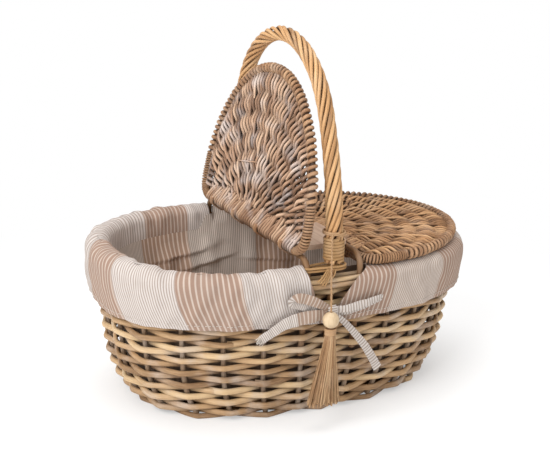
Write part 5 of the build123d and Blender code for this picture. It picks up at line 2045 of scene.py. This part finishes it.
@dataclass
class Tassel:
    """Jute cord from the handle with a wooden bead and a tassel."""

    shop: Workshop
    rng: np.random.Generator
    hang: Pair = (-14.5, -145.5)
    route: tuple[Spot, ...] = (
        (-7.6, -129.2, 190.0),
        (-8.4, -131.0, 168.5),
        (-10.6, -136.0, 147.5),
        (-14.5, -145.5, 128.0),
        (-14.5, -145.5, 108.0),
    )
    bead_height: float = 112.0
    bead_radius: float = 8.0
    bore_radius: float = 1.5
    neck_radius: float = 5.0
    skirt_top: float = 97.6
    strands: int = 300
    strand_lengths: Pair = (66.0, 72.0)
    spread: tuple[Numbers, Numbers] = ((4.6, 12.4, 1.1), (4.6, 3.4, 0.8))

    def build(self) -> None:
        """Build the cord first, then what hangs on it and the hitch that holds it."""
        line = self.centre_line()
        cord = self.shop.rods("tassel_cord_plies", self.plies(line), JUTE, sides=7)
        place(cord, Body.TASSEL, "jute", "tassel_cord")
        bead = place(self.bead(), Body.TASSEL, "bead_wood", "tassel_bead")
        neck = self.shop.rods("tassel_neck_yarn", self.neck(), JUTE, sides=7)
        place(neck, Body.TASSEL, "jute", "tassel_neck")
        skirt = self.shop.rods("tassel_skirt_yarn", self.skirt(), JUTE, sides=5)
        place(skirt, Body.TASSEL, "jute", "tassel_skirt")
        hitch = self.shop.rods("hitch_cord", [self.hitch()], JUTE)
        place(hitch, Body.BASKET, "jute", "tassel_hitch")

    def centre_line(self) -> Array:
        """Points of the cord's spline, in millimetres.

        Returns:
            Points of shape (count, 3).
        """
        data = bpy.data.curves.new("cord route", "CURVE")
        data.dimensions = "3D"
        data.resolution_u = 24
        spline = data.splines.new("NURBS")
        spline.points.add(len(self.route) - 1)
        for point, spot in zip(spline.points, self.route):
            point.co = (*(value * MM for value in spot), 1.0)
        spline.order_u = 3
        spline.use_endpoint_u = True
        carrier = show("cord route", data)
        mesh = bpy.data.meshes.new_from_object(carrier)
        line = np.array([vertex.co[:] for vertex in mesh.vertices]) / MM
        bpy.data.objects.remove(carrier)
        bpy.data.meshes.remove(mesh)
        return line

    def plies(self, line: Array) -> list[Rod]:
        """Two plies twisted round the cord's line.

        Args:
            line: Points of the cord.

        Returns:
            The plies.
        """
        run = walked(line)
        at = np.linspace(0, run[-1], 200)
        centre = pick(at, run, line)
        rods = []
        for ply in range(2):
            turn = 2 * math.pi * at / 5.0 + math.pi * ply
            swing = 0.48 * np.column_stack([np.cos(turn), np.sin(turn), np.zeros(len(at))])
            rods.append(Rod(centre + swing, 0.58, 0.35 + 0.3 * ply))
        return rods

    def around(self, radius: Array | float, turn: Array, z: Array | float) -> Array:
        """Points round the upright line of the tassel.

        Args:
            radius: Distance from the line.
            turn: Turn of each point.
            z: Height of each point, or one for all.

        Returns:
            Points of shape (count, 3).
        """
        x, y = self.hang
        height = np.broadcast_to(z, turn.shape)
        return np.column_stack([x + radius * np.cos(turn), y + radius * np.sin(turn), height])

    def bead(self) -> Piece:
        """Turned bead with its bore.

        Returns:
            The bead at the origin.
        """
        half = np.linspace(0.19, math.pi - 0.19, 24)
        rim = np.column_stack([self.bead_radius * np.sin(half), self.bead_radius * np.cos(half)])
        bore = np.column_stack([np.full(6, self.bore_radius), np.linspace(rim[-1, 1], rim[0, 1], 6)])
        outline = np.vstack([rim, bore, rim[:1]])
        turn = np.linspace(0, 2 * math.pi, 41)[:-1]
        rows = np.array([self.around(radius, turn, self.bead_height + z) for radius, z in outline])
        return self.shop.grid("tassel_bead_wood", rows, rows[..., :2] * MM, BEAD_WOOD, wrap=True, flip=True)

    def neck(self) -> list[Rod]:
        """Yarn wound round the top of the tassel.

        Returns:
            The yarn and the plug inside it.
        """
        turn = np.linspace(0, 2 * math.pi * 5, 150)
        wound = self.around(self.neck_radius, turn, 97.2 + 6.2 * turn / turn[-1])
        plug = self.around(0.0, np.zeros(4), np.linspace(96.8, 103.6, 4))
        # The plug is drawn partly in painted shade.
        return [Rod(wound, 0.75, 0.6), Rod(plug, 4.9, 0.3, 0.3)]

    def skirt(self) -> list[Rod]:
        """Hanging strands, spread towards the foot.

        Returns:
            The strands.
        """
        share = np.linspace(0, 1, 9)
        wide, deep = (start + gain * share**power for start, gain, power in self.spread)
        rods = []
        for _ in range(self.strands):
            turn = self.rng.uniform(0, 2 * math.pi)
            reach = self.rng.uniform(0.12, 1) ** 0.4
            length = self.rng.uniform(*self.strand_lengths)
            sway = 0.5 * Waves(int(self.rng.integers(1, 9999)), 0.25, 1.2, count=3).at(share) * share
            x = self.hang[0] + reach * wide * math.cos(turn) + sway - 4.5 * share
            y = self.hang[1] + reach * deep * math.sin(turn) + 0.4 * sway
            points = np.column_stack([x, y, self.skirt_top - length * share])
            rods.append(Rod(points, 0.46, float(self.rng.uniform(0, 1))))
        return rods

    def hitch(self) -> Rod:
        """Cord wound twice round the handle."""
        turn = np.linspace(0, 4 * math.pi, 90)
        return Rod(ARCH.wound(turn, 188.3 + 2.9 * turn / turn[-1], 10.4), 0.95, 0.5)


@dataclass
class Studio:
    """Camera of the photograph, pale floor and soft light.

    A light has a name, a place, a width and a power in watts.
    """

    target: Spot = (0.0, 0.0, 0.170)
    azimuth: float = -26.24
    elevation: float = 16.21
    roll: float = 1.66
    distance: float = 1.2464
    lens: float = 78.47
    sensor: float = 36.0
    shift: Pair = (-0.0081, -0.0110)
    floor_half: float = 6.0
    lights: tuple[tuple[str, Spot, float, float], ...] = (
        ("key", (-1.7, -0.9, 1.3), 1.4, 40.0),
        ("fill", (0.9, -1.7, 0.9), 1.8, 6.0),
        ("top", (0.0, 0.2, 2.0), 1.8, 24.0),
    )
    sky: Colour = (1.0, 0.99, 0.98)
    sky_strength: float = 0.55

    def build(self) -> None:
        """Set the camera, the floor, the lights and the world."""
        self.camera()
        self.floor()
        for light in self.lights:
            self.light(*light)
        self.world()
        bpy.context.scene.view_settings.view_transform = "Standard"

    def camera(self) -> None:
        """Place the camera."""
        a, e, r = (math.radians(v) for v in (self.azimuth, self.elevation, self.roll))
        back = Vector((math.sin(a) * math.cos(e), -math.cos(a) * math.cos(e), math.sin(e)))
        level = Vector((math.cos(a), math.sin(a), 0))
        rise = back.cross(level)
        right = level * math.cos(r) + rise * math.sin(r)
        up = rise * math.cos(r) - level * math.sin(r)
        data = bpy.data.cameras.new("camera")
        data.lens = self.lens
        data.sensor_width = self.sensor
        data.shift_x, data.shift_y = self.shift
        made = show("camera", data)
        turn = Matrix((right, up, back)).transposed().to_4x4()
        made.matrix_world = Matrix.Translation(Vector(self.target) + back * self.distance) @ turn
        bpy.context.scene.camera = made

    def floor(self) -> None:
        """Lay a wide pale floor that keeps the shadow."""
        mesh = bpy.data.meshes.new("floor")
        half = self.floor_half
        corners = [(-half, -half, 0), (half, -half, 0), (half, half, 0), (-half, half, 0)]
        mesh.from_pydata(corners, [], [(0, 1, 2, 3)])
        made = bpy.data.materials.new("floor")
        made.use_nodes = True
        book = NodeBook(made.node_tree)
        shader = made.node_tree.nodes["Principled BSDF"]
        shader.inputs["Base Color"].default_value = (0.95, 0.95, 0.95, 1)
        shader.inputs["Roughness"].default_value = 1.0
        shader.inputs["Specular IOR Level"].default_value = 0.0
        bright = book.add("ShaderNodeEmission")
        far = book.add("ShaderNodeVectorMath", operation="LENGTH")
        book.join(book.add("ShaderNodeTexCoord").outputs["Object"], far.inputs[0])
        share = book.math("MULTIPLY", book.step(far.outputs["Value"], 0.26, 0.6), 0.6)
        share = book.math("ADD", share, 0.4)
        share = book.math("MULTIPLY", share, book.add("ShaderNodeLightPath").outputs["Is Camera Ray"])
        output = made.node_tree.nodes["Material Output"]
        book.blend(share, shader.outputs[0], bright.outputs[0], output=output)
        mesh.materials.append(made)
        floor = show("floor", mesh)

    def light(self, name: str, spot: Spot, size: float, power: float) -> None:
        """Hang a soft light.

        Args:
            name: Name of the light.
            spot: Where it hangs, in metres.
            size: Width of the light.
            power: Its power in watts.
        """
        data = bpy.data.lights.new(name, "AREA")
        data.size = size
        data.energy = power
        made = show(name, data)
        made.location = spot
        aim = Vector(self.target) - Vector(spot)
        made.rotation_euler = aim.to_track_quat("-Z", "Y").to_euler()

    def world(self) -> None:
        """Even light from all round, and white behind the basket for the camera."""
        world = bpy.data.worlds.new("studio")
        bpy.context.scene.world = world
        world.use_nodes = True
        book = NodeBook(world.node_tree)
        lit = world.node_tree.nodes["Background"]
        lit.inputs["Color"].default_value = (*self.sky, 1)
        lit.inputs["Strength"].default_value = self.sky_strength
        seen = book.add("ShaderNodeBackground")
        seen.inputs["Color"].default_value = (1, 1, 1, 1)
        by_camera = book.add("ShaderNodeLightPath").outputs["Is Camera Ray"]
        output = world.node_tree.nodes["World Output"]
        book.blend(by_camera, lit.outputs[0], seen.outputs[0], output=output)


def dress_cad(frame: dict) -> None:
    """Give the CAD nodes that stay in view their finishes.

    Args:
        frame: The loaded frame.
    """
    finishes = {
        "base_long_sticks": CORE_WOOD,
        "base_cross_sticks": CORE_WOOD,
        "base_under_weave": CORE_WOOD,
        "base_over_weave": CORE_WOOD,
        "handle_core": CORE_WOOD,
        "bridge_board": BRIDGE_WOOD,
    }
    for node, finish in finishes.items():
        mesh = frame["nodes"][node].data
        mesh.materials.clear()
        mesh.materials.append(finish.material())


def plain(box: object) -> list:
    """Turn a box into plain lists."""
    return [[float(value) for value in corner] for corner in box]


def main() -> None:
    """Build the studio and the basket in order."""
    logging.basicConfig(level=logging.INFO, format="%(message)s")
    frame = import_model()
    rng = np.random.default_rng(SEED)
    shop = Workshop()
    Studio().build()
    Tassel(shop, rng).build()
    WovenWall(shop, rng).build()
    RimBorder(shop, rng).build()
    Handle(shop, rng).build()
    HingeBows(shop).build()
    HalfLid(shop, rng, Side.LEFT, LID_GREY).build()
    HalfLid(shop, rng, Side.RIGHT, LID_TAN).build()
    Liner(shop).build()
    TieBow(shop, rng).build()
    dress_cad(frame)


if __name__ == "__main__":
    main()
